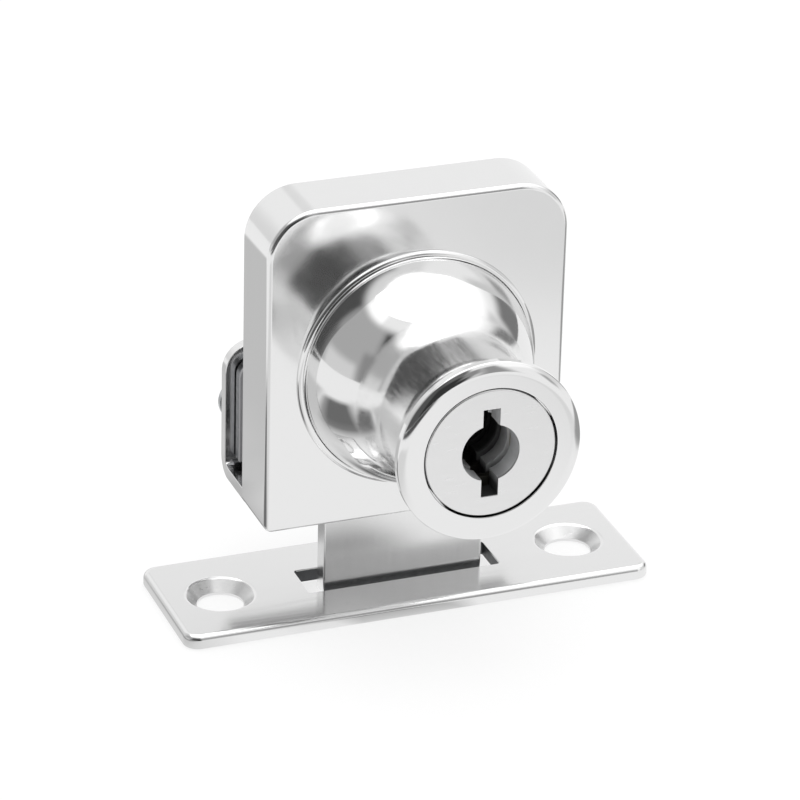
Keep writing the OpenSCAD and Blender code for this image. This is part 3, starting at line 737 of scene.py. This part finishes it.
class LOCK_OT_front_case(bpy.types.Operator):
    """Builds the cast case with its rounded front, rails, posts and openings"""
    bl_idname = "lock.front_case"
    bl_label = "Front case"

    def execute(self, context):
        s = context.scene.lock_sizes
        wall, edge, low_edge = mm(s.case_wall), mm(s.case_edge), mm(s.case_low_edge)
        radii = [mm(s.case_bottom), mm(s.case_top), mm(s.case_top), mm(s.case_bottom)]
        low, high = (CASE_LOW.x, CASE_LOW.z), (CASE_HIGH.x, CASE_HIGH.z)
        inner_y, cover_y = CASE_LOW.y + wall, CASE_HIGH.y - mm(s.cover)
        back_edge, bore_depth, hole_depth = 0.12, 3.1, 3.0

        def outer(inset, low_inset=None):
            return rounded_box(low, high, radii, 20, inset, low_inset)

        bm = bmesh.new()
        walls = [ring(bm, outer(inset, inset * low_edge / edge), along_y, CASE_LOW.y + drop)
                 for inset, drop in quarter_round(edge, 10)]
        walls += [ring(bm, outer(inset), along_y, CASE_HIGH.y - drop)
                  for inset, drop in reversed(quarter_round(back_edge, 3))]
        walls += [ring(bm, outer(wall), along_y, y) for y in (CASE_HIGH.y, inner_y)]
        loft(bm, walls)
        cap(bm, walls[0])
        cap(bm, walls[-1])
        obj = to_object(bm, "case")
        rails, posts, bores, screws, opening, slots = [bmesh.new() for _ in range(6)]
        for side in (-1, 1):
            ends = [side * (BOLT_HIGH.x + ROOM), side * (BOLT_HIGH.x + ROOM + mm(s.rail))]
            block(rails, (min(ends), inner_y - wall / 2, CASE_LOW.z + wall / 2),
                  (max(ends), BOLT_HIGH.y + ROOM, CASE_HIGH.z - wall / 2))
        bore_r = mm(s.cover_screw) / 2 + BORE_GAP
        for x, z in cover_places(s):
            prism(posts, circle(mm(s.post), 40, x, z), along_y, inner_y - wall / 2, cover_y)
            prism(bores, circle(bore_r, BORE_SIDES, x, z), along_y, cover_y - bore_depth, cover_y + CUT)
        knob_bores(s, screws, CASE_LOW.y - CUT, inner_y + CUT)
        prism(opening, circle(mm(s.cam_hole), 64), knob_axis, -hole_depth, CUT)
        block(slots, (BOLT_LOW.x - ROOM, BOLT_LOW.y - ROOM, CASE_LOW.z - CUT),
              (BOLT_HIGH.x + ROOM, BOLT_HIGH.y + ROOM, CASE_LOW.z + wall + CUT))
        block(slots, (CASE_LOW.x + wall, cover_y, CASE_LOW.z - CUT),
              (CASE_HIGH.x - wall, CASE_HIGH.y + CUT, CASE_LOW.z + wall + CUT))
        for tool in (rails, posts):
            combine(obj, tool, "UNION")
        for tool in (bores, screws, opening, slots):
            combine(obj, tool, "DIFFERENCE")
        shade(obj, 30)
        finish_piece(obj, "lock_case", ["front_case"], "case_plating", "buffed_chrome")
        return {"FINISHED"}


# Angle from the radius, in degrees, at which the flange's crown meets its edge
CROWN_TILT = 52
# Fillet at the dome's foot, in radii of the bead: height where it meets the dome, reach of its pull
SKIRT_RISE, SKIRT_PULL = 1.6, 0.45


class LOCK_OT_pull_knob(bpy.types.Operator):
    """Turns the hollow knob: dome, neck and flange round the plug's bore"""
    bl_idname = "lock.pull_knob"
    bl_label = "Pull knob"

    def execute(self, context):
        s = context.scene.lock_sizes
        foot_r, bead, groove = KNOB_HIGH.x, mm(s.foot_round), mm(s.foot_groove)
        ball, sink = foot_r - mm(s.foot_step), mm(s.dome_sink)
        neck, curve = mm(s.neck), mm(s.neck_curve)
        flange, rim = mm(s.flange), mm(s.flange_rim)
        crown, edge_r = mm(s.flange_crown), mm(s.flange_edge)
        bore, recess = mm(s.plug_bore), mm(s.flange_bore)
        head_room, lip, rim_flat, travel = 0.2, 0.1, 0.1, 0.8
        length = KNOB_HIGH.y - KNOB_LOW.y
        neck_x = neck + curve
        neck_h = math.sqrt((ball + curve) ** 2 - neck_x ** 2) - sink
        meet = math.degrees(math.atan2(neck_h + sink, neck_x))
        flare = math.degrees(math.acos((neck_x - flange) / curve))
        flare_h = length - rim - curve * math.sin(math.radians(flare))
        shelf = length - mm(s.plug_head) - head_room
        profile = arc(foot_r - bead, 0, bead, 0, 90, 10)
        edge = foot_r - bead - groove / 2
        profile += [(edge, bead), (edge, bead / 2), (edge - groove, bead / 2)]
        lean = math.asin((SKIRT_RISE * bead + sink) / ball)
        start = Vector((edge - groove, bead))
        end = Vector((ball * math.cos(lean), ball * math.sin(lean) - sink))
        pull = end + SKIRT_PULL * bead * Vector((math.sin(lean), -math.cos(lean)))
        for t in [i / 8 for i in range(9)]:
            profile.append(tuple(start * (1 - t) ** 2 + pull * 2 * t * (1 - t) + end * t * t))
        profile += arc(0, -sink, ball, math.degrees(lean), meet, 56)[1:]
        profile += arc(neck_x, neck_h, curve, 180 + meet, 180, 24)
        profile += arc(neck_x, flare_h, curve, 180, 180 - flare, 24)
        profile += [(flange, length - rim + rim_flat)]
        tilt = math.radians(CROWN_TILT)
        crown_r = flange - edge_r - (crown - edge_r) * math.cos(tilt)
        crown_h = length - crown
        edge_h = crown_h + (crown - edge_r) * math.sin(tilt)
        profile += arc(flange - edge_r, edge_h, edge_r, 0, CROWN_TILT, 6)
        profile += arc(crown_r, crown_h, crown, CROWN_TILT, 90, 14)[1:]
        profile += [(recess + lip, length), (recess + LIP_MIDDLE * lip, length - LIP_MIDDLE * lip)]
        profile += [(recess, length - lip), (recess, shelf), (bore, shelf), (bore, 0.0)]
        bm = bmesh.new()
        lathe(bm, profile, knob_axis, 160)
        obj = to_object(bm, "knob")
        cutter = bmesh.new()
        first, last = box_mm(WAFERS[0]), box_mm(WAFERS[-1])
        half, width = first[1].z - AXIS_Z + WAFER_ROOM, -first[0].x + ROOM
        turn = math.degrees(math.acos(width / half))
        for side in (-1, 1):
            outline = arc(0, travel, half, turn, 180 - turn, 16) + [(-width, 0.0), (width, 0.0)]
            prism(cutter, [(u, AXIS_Z + side * v) for u, v in outline], along_y,
                  first[0].y - WAFER_GAP, last[1].y + WAFER_GAP)
        knob_bores(s, cutter, box_mm("knob_screws")[0].y - ROOM, CASE_LOW.y + CUT)
        combine(obj, cutter, "DIFFERENCE")
        shade(obj)
        near = 0.1
        neck_low = CASE_LOW.y - length + rim
        neck_high = CASE_LOW.y - ball * math.sin(math.radians(meet)) + sink
        finish_faces(obj, 1, lambda face: neck_low < face.center.y < neck_high
                     and math.hypot(face.center.x, face.center.z - AXIS_Z) > neck - near)
        finish_piece(obj, "lock_case", ["pull_knob"], "knob_plating", "bright_chrome", "turned_chrome")
        return {"FINISHED"}


# Growth of the keyway at its mouth, and depth behind the plug's face, in millimetres
KEYWAY_MOUTH = ((0.0, 0.12), (0.03, 0.04), (0.1, 0.0))


class LOCK_OT_key_plug(bpy.types.Operator):
    """Builds the key plug with its keyway and wafer slots"""
    bl_idname = "lock.key_plug"
    bl_label = "Key plug"

    def execute(self, context):
        s = context.scene.lock_sizes
        head_r, body_r, head = PLUG_HIGH.x, mm(s.plug_body), mm(s.plug_head)
        round_r, wing, tall = mm(s.keyway_round), mm(s.keyway_wing) / 2, mm(s.keyway_height) / 2
        face, back = CASE_LOW.y - PLUG_LOW.y, CASE_LOW.y - CAM_LOW.y
        soft, tail_root, pocket_top, face_skin = 0.18, 0.5, 1.5, 0.2

        def keyway(grow):
            r, half, high = round_r + grow, wing + grow, tall + grow
            turn = math.degrees(math.asin(half / r))
            right = arc(0, 0, r, -90 + turn, 90 - turn, 24)
            left = arc(0, 0, r, 90 + turn, 270 - turn, 24)
            return right + [(half, high), (-half, high)] + left + [(-half, -high), (half, -high)]

        bm = bmesh.new()
        profile = [(body_r, back), (body_r, face - head), (head_r, face - head), (head_r, face - soft)]
        profile += [(head_r - inset, face - drop) for drop, inset in quarter_round(soft, 4)]
        walls = [ring(bm, circle(r, 128), knob_axis, h) for r, h in profile]
        loft(bm, walls)
        bore = [ring(bm, keyway(grow), knob_axis, face - depth)
                for grow, depth in ((0.0, mm(s.keyway_depth)), *KEYWAY_MOUTH)]
        loft(bm, bore)
        cap(bm, walls[0])
        cap(bm, bore[0])
        cap(bm, walls[-1], bore[-1])
        obj = to_object(bm, "plug")
        cutter, pockets, tail = [bmesh.new() for _ in range(3)]
        spring = box_mm("wafer_springs")[0]
        for wafer in WAFERS:
            low, high = box_mm(wafer)
            block(cutter, (low.x - WAFER_GAP, low.y - WAFER_GAP, AXIS_Z - 2 * body_r),
                  (-low.x + WAFER_GAP, high.y + WAFER_GAP, AXIS_Z + 2 * body_r))
            middle, reach = (low.y + high.y) / 2, (high.x - spring.x) / 2 + WAFER_ROOM
            block(pockets, (-low.x - WAFER_GAP, middle - reach, spring.z - WAFER_GAP),
                  (high.x + WAFER_ROOM, middle + reach, AXIS_Z + pocket_top))
        side = mm(s.tail) / 2
        block(tail, (-side, CAM_LOW.y - tail_root, AXIS_Z - side), (side, PLUG_HIGH.y, AXIS_Z + side))
        combine(obj, cutter, "DIFFERENCE")
        combine(obj, pockets, "DIFFERENCE")
        combine(obj, tail, "UNION")
        shade(obj, 30)
        # Faces behind the plug's face get raw zinc, which darkens to painted shade deeper in the keyway
        finish_faces(obj, 1, lambda face: face.center.y > PLUG_LOW.y + face_skin)
        finish_piece(obj, "key_cylinder", ["key_plug"], "plug_satin", "satin_nickel", "raw_zinc")
        return {"FINISHED"}


class LOCK_OT_dead_bolt(bpy.types.Operator):
    """Builds the flat bolt with the looped slot that the drive pin runs in"""
    bl_idname = "lock.dead_bolt"
    bl_label = "Dead bolt"

    def execute(self, context):
        s = context.scene.lock_sizes
        corner, throw = mm(s.bolt_corner), mm(s.bolt_throw)
        top_corner, soft, steps = 0.3, 0.16, 60

        def outer(inset):
            return rounded_box((BOLT_LOW.x, BOLT_LOW.z), (BOLT_HIGH.x, BOLT_HIGH.z),
                               [corner, top_corner, top_corner, corner], 6, inset)

        crank = throw / 2
        pin = box_mm("drive_pin")
        pin_r = (pin[1].x - pin[0].x) / 2 + ROOM
        loop = []
        for t in [math.pi * i / steps for i in range(steps + 1)]:
            dx, dz = -crank * math.cos(t), crank * math.sin(t) - throw / math.pi
            n = math.hypot(dx, dz)
            loop.append((-crank * math.sin(t) - pin_r * dz / n,
                         AXIS_Z - crank * math.cos(t) - throw * t / math.pi + pin_r * dx / n))
        bm = bmesh.new()
        slab(bm, along_y, BOLT_LOW.y, BOLT_HIGH.y, outer, soft, soft)
        obj = to_object(bm, "bolt")
        for outline in (loop, circle(pin_r, 40, 0.0, AXIS_Z - crank)):
            cutter = bmesh.new()
            prism(cutter, outline, along_y, BOLT_LOW.y - CUT, BOLT_HIGH.y + CUT)
            combine(obj, cutter, "DIFFERENCE")
        shade(obj)
        finish_piece(obj, "bolt", ["dead_bolt"], "bolt_plating", "rolled_nickel")
        return {"FINISHED"}


class LOCK_OT_clamp(bpy.types.Operator):
    """Builds the glass clamp: bracket, pressure plate and pads"""
    bl_idname = "lock.clamp"
    bl_label = "Glass clamp"

    def execute(self, context):
        pieces = (
            ("clamp_bracket", "bracket", "lock_case", "bracket_plating", "nickel_plate", 0.15),
            ("pressure_plate", "foot_plate", "clamp_foot", "sheet_steel", "bare_steel", 0.1),
            ("front_glass_pad", "front_pad", "lock_case", "pad_rubber", "pad_rubber", 0.08),
            ("rear_glass_pad", "rear_pad", "clamp_foot", "pad_rubber", "pad_rubber", 0.08),
        )
        for node, name, body, slot, surface, edge in pieces:
            obj = copy_node(node, name, edge)
            shade(obj)
            finish_piece(obj, body, [node], slot, surface)
        return {"FINISHED"}


class LOCK_OT_small_screws(bpy.types.Operator):
    """Grows the countersunk screws of the cover and the knob"""
    bl_idname = "lock.small_screws"
    bl_label = "Small screws"

    def execute(self, context):
        s = context.scene.lock_sizes
        tree = countersunk_tree()
        back, inner = box_mm("cover_screws")[1].y, box_mm("knob_screws")[1].y
        rows = (
            ("cover_screws", "cover_screw_set", [(x, back, z) for x, z in cover_places(s)],
             s.cover_head, s.cover_screw),
            ("knob_screws", "knob_screw_set", [(0.0, inner, z) for z in knob_screw_heights(s)],
             s.knob_head, s.knob_screw),
        )
        for node, name, places, head, thread in rows:
            low, high = box_mm(node)
            obj = grow(tree, name, places, {
                "Head": mm(head), "Thread": mm(thread), "Length": high.y - low.y,
                "Slot width": mm(thread) / 4, "Slot depth": mm(thread) / 5}, finish("zinc_screw"))
            shade(obj, 30)
            finish_piece(obj, "lock_case", [node], "screw_steel", "zinc_screw")
        return {"FINISHED"}


class LOCK_OT_clamp_screws(bpy.types.Operator):
    """Grows the two clamp screws with their threads"""
    bl_idname = "lock.clamp_screws"
    bl_label = "Clamp screws"

    def execute(self, context):
        s = context.scene.lock_sizes
        tree = clamp_screw_tree()
        plate = box_mm("pressure_plate")
        for side in ("left", "right"):
            node = "clamp_screw_" + side
            low, high = box_mm(node)
            middle, seat = (low + high) / 2, high.y - mm(s.clamp_head_height)
            tip = plate[1].y - low.y
            obj = grow(tree, side + "_clamp_screw", [(middle.x, seat, middle.z)], {
                "Head": mm(s.clamp_head), "Head height": mm(s.clamp_head_height),
                "Thread": mm(s.clamp_thread), "Pitch": mm(s.clamp_pitch),
                "Shank": seat - low.y - tip, "Spigot": mm(s.clamp_spigot), "Spigot length": tip,
                "Slot width": mm(s.clamp_thread) / 4, "Slot depth": mm(s.clamp_head_height) / 2},
                finish("zinc_screw"))
            shade(obj, 30)
            finish_piece(obj, side + "_screw", [node], "screw_steel", "zinc_screw")
        return {"FINISHED"}


class LOCK_OT_inner_parts(bpy.types.Operator):
    """Gives the hidden mechanism its finishes"""
    bl_idname = "lock.inner_parts"
    bl_label = "Inner parts"

    def execute(self, context):
        finishes = {"bolt_keeper": "bare_steel", "drive_cam": "bare_steel", "drive_pin": "bare_steel",
                    "cam_screw": "zinc_screw", "wafer_springs": "bare_steel"}
        # The wafers' nickel brass darkens to painted shade deep in the keyway
        finishes.update({wafer: "nickel_brass" for wafer in WAFERS})
        for node, name in finishes.items():
            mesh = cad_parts[node].data
            mesh.materials.clear()
            mesh.materials.append(finish(name))
        return {"FINISHED"}


# Stage, in metres and degrees

CAMERA_EYE = (-0.136537, -0.351187, 0.203043)
CAMERA_AZIMUTH, CAMERA_ELEVATION, CAMERA_ROLL = -21.233, 25.967, 1.516
CAMERA_NEAR, CAMERA_FAR = 0.01, 50.0
# Width of the camera's sensor in millimetres
CAMERA_SENSOR = 36.0
SOFTBOX_PLACE = (0.05, 0.05, 0.45)
FLOOR_REACH, FLOOR_Z = 6.0, -0.00005
# Share of the floor's white that the camera sees in the shadow too
FLOOR_GLOW = 0.75
WHITE = (1, 1, 1, 1)

# Studio cards that only reflections show. Each is a listed grey, painted over the ones before it.
WALL_DISTANCE = 0.9
WALL_AZIMUTHS, WALL_ELEVATIONS = range(-180, 181, 2), range(-4, 90, 2)
CARD_Z = -0.00002
CARD_XS, CARD_YS = range(-420, 421, 6), range(-720, 161, 6)
# Cards on the wall: azimuths from the front, elevations, softness in degrees, grey
WALLS = (
    (-125, -74, 52, 95, 4, 1.30),
    (-150, -120, -9, 58, 6, 0.70),
    (-122, -60, -9, 52, 4, 0.46),
    (-115, -78, -9, 13, 4, 0.75),
    (-74, -58, -9, 26, 4, 0.30),
    (-61, 3, -9, 51, 5, 0.10),
    (-16, 3, 29, 44, 4, 0.16),
    (-20, 11, -9, 27, 3, 0.04),
    (3, 14, 14, 36, 3, 0.30),
    (14, 27, -9, 36, 4, 0.34),
    (28, 60, 24, 60, 4, 1.20),
    (48, 60, 2, 15, 3, 0.45),
    (62, 160, 33, 95, 6, 1.30),
    (58, 74, 5, 40, 4, 0.82),
    (75, 92, 5, 30, 4, 0.72),
    (94, 122, -9, 22, 6, 0.22),
    (140, 178, 29, 40, 1, 0.85),
    # Shade behind the softbox, whose own light is added to it
    (-200, 200, 66, 100, 3, 0.0),
)
# Cards on the floor: X and Y in millimetres, softness in millimetres, grey
FLOOR = (
    (-420, 0, -720, -170, 20, 0.08),
    (-75, -22, -95, -18, 10, 0.80),
    (30, 80, -115, -62, 16, 0.82),
    (-75, -20, 20, 100, 8, 0.60),
    (-66, -26, -18, 14, 6, 0.17),
    # Painted shadow under and behind the strike and the bolt
    (-22, 24, 9, 30, 4, 0.35),
    # Painted shadow of the knob in front of the strike
    (-11, 4, -16, -8, 2, 0.12),
    (52, 300, -60, 5, 6, 0.38),
)


def painted(u, v, patches):
    """Grey at a place, under the cards that cover it."""
    def window(x, low, high, soft):
        """Share of a card along one way, soft at its two ends."""
        rise = min(max((x - low) / (2 * soft) + 0.5, 0.0), 1.0)
        fall = min(max((high - x) / (2 * soft) + 0.5, 0.0), 1.0)
        return rise * rise * (3 - 2 * rise) * fall * fall * (3 - 2 * fall)

    grey = 1.0
    for u0, u1, v0, v1, soft, tone in patches:
        grey += (tone - grey) * window(u, u0, u1, soft) * window(v, v0, v1, soft)
    return grey


def studio_card(name, us, vs, place, patches):
    """Sheet over a grid of places that glows with the painted greys, for reflections alone."""
    bm = bmesh.new()
    tone = bm.verts.layers.float.new("tone")
    grid = []
    for u in us:
        line = [bm.verts.new(place(u, v)) for v in vs]
        for vert, v in zip(line, vs):
            vert[tone] = painted(u, v, patches)
        grid.append(line)
    for near, far in zip(grid, grid[1:]):
        for j in range(len(vs) - 1):
            bm.faces.new((near[j], far[j], far[j + 1], near[j + 1]))
    obj = to_object(bm, name)
    material, tree, output = new_material(name + "_paper")
    grey = add_node(tree, "ShaderNodeAttribute", attribute_name="tone")
    glow = add_node(tree, "ShaderNodeEmission", {"Color": WHITE, "Strength": grey.outputs["Fac"]})
    tree.links.new(glow.outputs["Emission"], output.inputs["Surface"])
    obj.data.materials.append(material)
    obj.visible_camera = obj.visible_diffuse = obj.visible_shadow = False


def direction(azimuth, elevation):
    """Way from the lock to an azimuth from its front and an elevation."""
    a, e = math.radians(azimuth), math.radians(elevation)
    return Vector((math.sin(a) * math.cos(e), -math.cos(a) * math.cos(e), math.sin(e)))


def wall_place(azimuth, elevation):
    """Point of the studio's wall."""
    return WALL_DISTANCE * direction(azimuth, elevation)


def floor_place(x, y):
    """Point just above the studio's floor."""
    return Vector((x * MM, y * MM, CARD_Z))


class LOCK_OT_stage(bpy.types.Operator):
    """Sets up the floor, the softbox, the cards, the world and the camera"""
    bl_idname = "lock.stage"
    bl_label = "Studio"

    def execute(self, context):
        scene = context.scene
        stage = scene.lock_stage
        scene.view_settings.view_transform = "Standard"

        bm = bmesh.new()
        bmesh.ops.create_grid(bm, x_segments=1, y_segments=1, size=FLOOR_REACH,
                              matrix=Matrix.Translation((0, 0, FLOOR_Z)))
        floor = to_object(bm, "floor")
        material, tree, output = new_material("studio_paper")
        rays = add_node(tree, "ShaderNodeLightPath").outputs
        mirrored = add_node(tree, "ShaderNodeMath", {
            0: rays["Is Glossy Ray"], 1: rays["Is Transmission Ray"]}, operation="MAXIMUM")
        amount = add_node(tree, "ShaderNodeMath", {
            0: rays["Is Camera Ray"], 1: FLOOR_GLOW, 2: mirrored.outputs[0]}, operation="MULTIPLY_ADD")
        paper = add_node(tree, "ShaderNodeBsdfDiffuse", {"Color": (*stage.floor, 1.0)})
        white = add_node(tree, "ShaderNodeEmission", {"Color": WHITE, "Strength": 1.0})
        mix = add_node(tree, "ShaderNodeMixShader", {
            0: amount.outputs[0], 1: paper.outputs[0], 2: white.outputs[0]})
        tree.links.new(mix.outputs[0], output.inputs["Surface"])
        floor.data.materials.append(material)

        studio_card("studio_wall", WALL_AZIMUTHS, WALL_ELEVATIONS, wall_place, WALLS)
        # The floor card also carries painted shadows of the lock, which its glow can't receive, for
        # reflections
        studio_card("studio_floor", CARD_XS, CARD_YS, floor_place, FLOOR)

        light = bpy.data.lights.new("softbox", "AREA")
        light.shape = "DISK"
        light.size = stage.softbox_size
        light.energy = stage.softbox_power
        softbox = bpy.data.objects.new("softbox", light)
        scene.collection.objects.link(softbox)
        softbox.location = SOFTBOX_PLACE
        softbox.visible_camera = False

        world = bpy.data.worlds.new("studio_world")
        scene.world = world
        world.use_nodes = True
        tree = world.node_tree
        tree.nodes.clear()
        rays = add_node(tree, "ShaderNodeLightPath").outputs
        seen = add_node(tree, "ShaderNodeMath", {0: rays["Is Camera Ray"], 1: rays["Is Glossy Ray"]},
                        operation="MAXIMUM")
        seen = add_node(tree, "ShaderNodeMath", {0: seen.outputs[0], 1: rays["Is Transmission Ray"]},
                        operation="MAXIMUM")
        level = add_node(tree, "ShaderNodeMapRange", {
            "Value": seen.outputs[0], "To Min": stage.fill, "To Max": 1.0})
        sky = add_node(tree, "ShaderNodeBackground", {"Color": WHITE, "Strength": level.outputs["Result"]})
        end = add_node(tree, "ShaderNodeOutputWorld")
        tree.links.new(sky.outputs[0], end.inputs["Surface"])

        data = bpy.data.cameras.new("camera")
        data.lens = stage.lens
        data.sensor_width = CAMERA_SENSOR
        data.clip_start, data.clip_end = CAMERA_NEAR, CAMERA_FAR
        camera = bpy.data.objects.new("camera", data)
        scene.collection.objects.link(camera)
        back = direction(CAMERA_AZIMUTH, CAMERA_ELEVATION)
        right = (-back).cross(Vector((0, 0, 1))).normalized()
        up = right.cross(-back)
        roll = math.radians(CAMERA_ROLL)
        across = right * math.cos(roll) + up * math.sin(roll)
        upward = -right * math.sin(roll) + up * math.cos(roll)
        camera.matrix_world = Matrix.Translation(CAMERA_EYE) @ Matrix(
            (across, upward, back)).transposed().to_4x4()
        scene.camera = camera
        return {"FINISHED"}


PIECES = (
    LOCK_OT_strike_plate, LOCK_OT_front_case, LOCK_OT_pull_knob, LOCK_OT_key_plug,
    LOCK_OT_dead_bolt, LOCK_OT_clamp, LOCK_OT_small_screws, LOCK_OT_clamp_screws,
    LOCK_OT_inner_parts, LOCK_OT_stage)


class LOCK_PT_panel(bpy.types.Panel):
    """Buttons for the lock's pieces and studio"""
    bl_idname = "LOCK_PT_panel"
    bl_label = "Glass door lock"
    bl_space_type = "VIEW_3D"
    bl_region_type = "UI"
    bl_category = "Lock"

    def draw(self, context):
        for piece in PIECES:
            self.layout.operator(piece.bl_idname, text=piece.bl_label)
        for group in (context.scene.lock_sizes, context.scene.lock_finishes, context.scene.lock_stage):
            for name in group.bl_rna.properties.keys():
                if name not in ("rna_type", "name"):
                    self.layout.prop(group, name)


GROUPS = {"lock_sizes": LockSizes, "lock_finishes": LockFinishes, "lock_stage": LockStage}
CLASSES = (*GROUPS.values(), *PIECES, LOCK_PT_panel)


def register():
    """Registers the classes and hangs the settings on the scene."""
    for item in CLASSES:
        bpy.utils.register_class(item)
    for name, group in GROUPS.items():
        setattr(bpy.types.Scene, name, bpy.props.PointerProperty(type=group))


def unregister():
    """Takes the settings and the classes away again."""
    for name in GROUPS:
        delattr(bpy.types.Scene, name)
    for item in reversed(CLASSES):
        bpy.utils.unregister_class(item)


def main():
    """Builds every piece and the studio."""
    register()
    for piece in PIECES:
        group, name = piece.bl_idname.split(".")
        getattr(getattr(bpy.ops, group), name)()


if __name__ == "__main__":
    main()
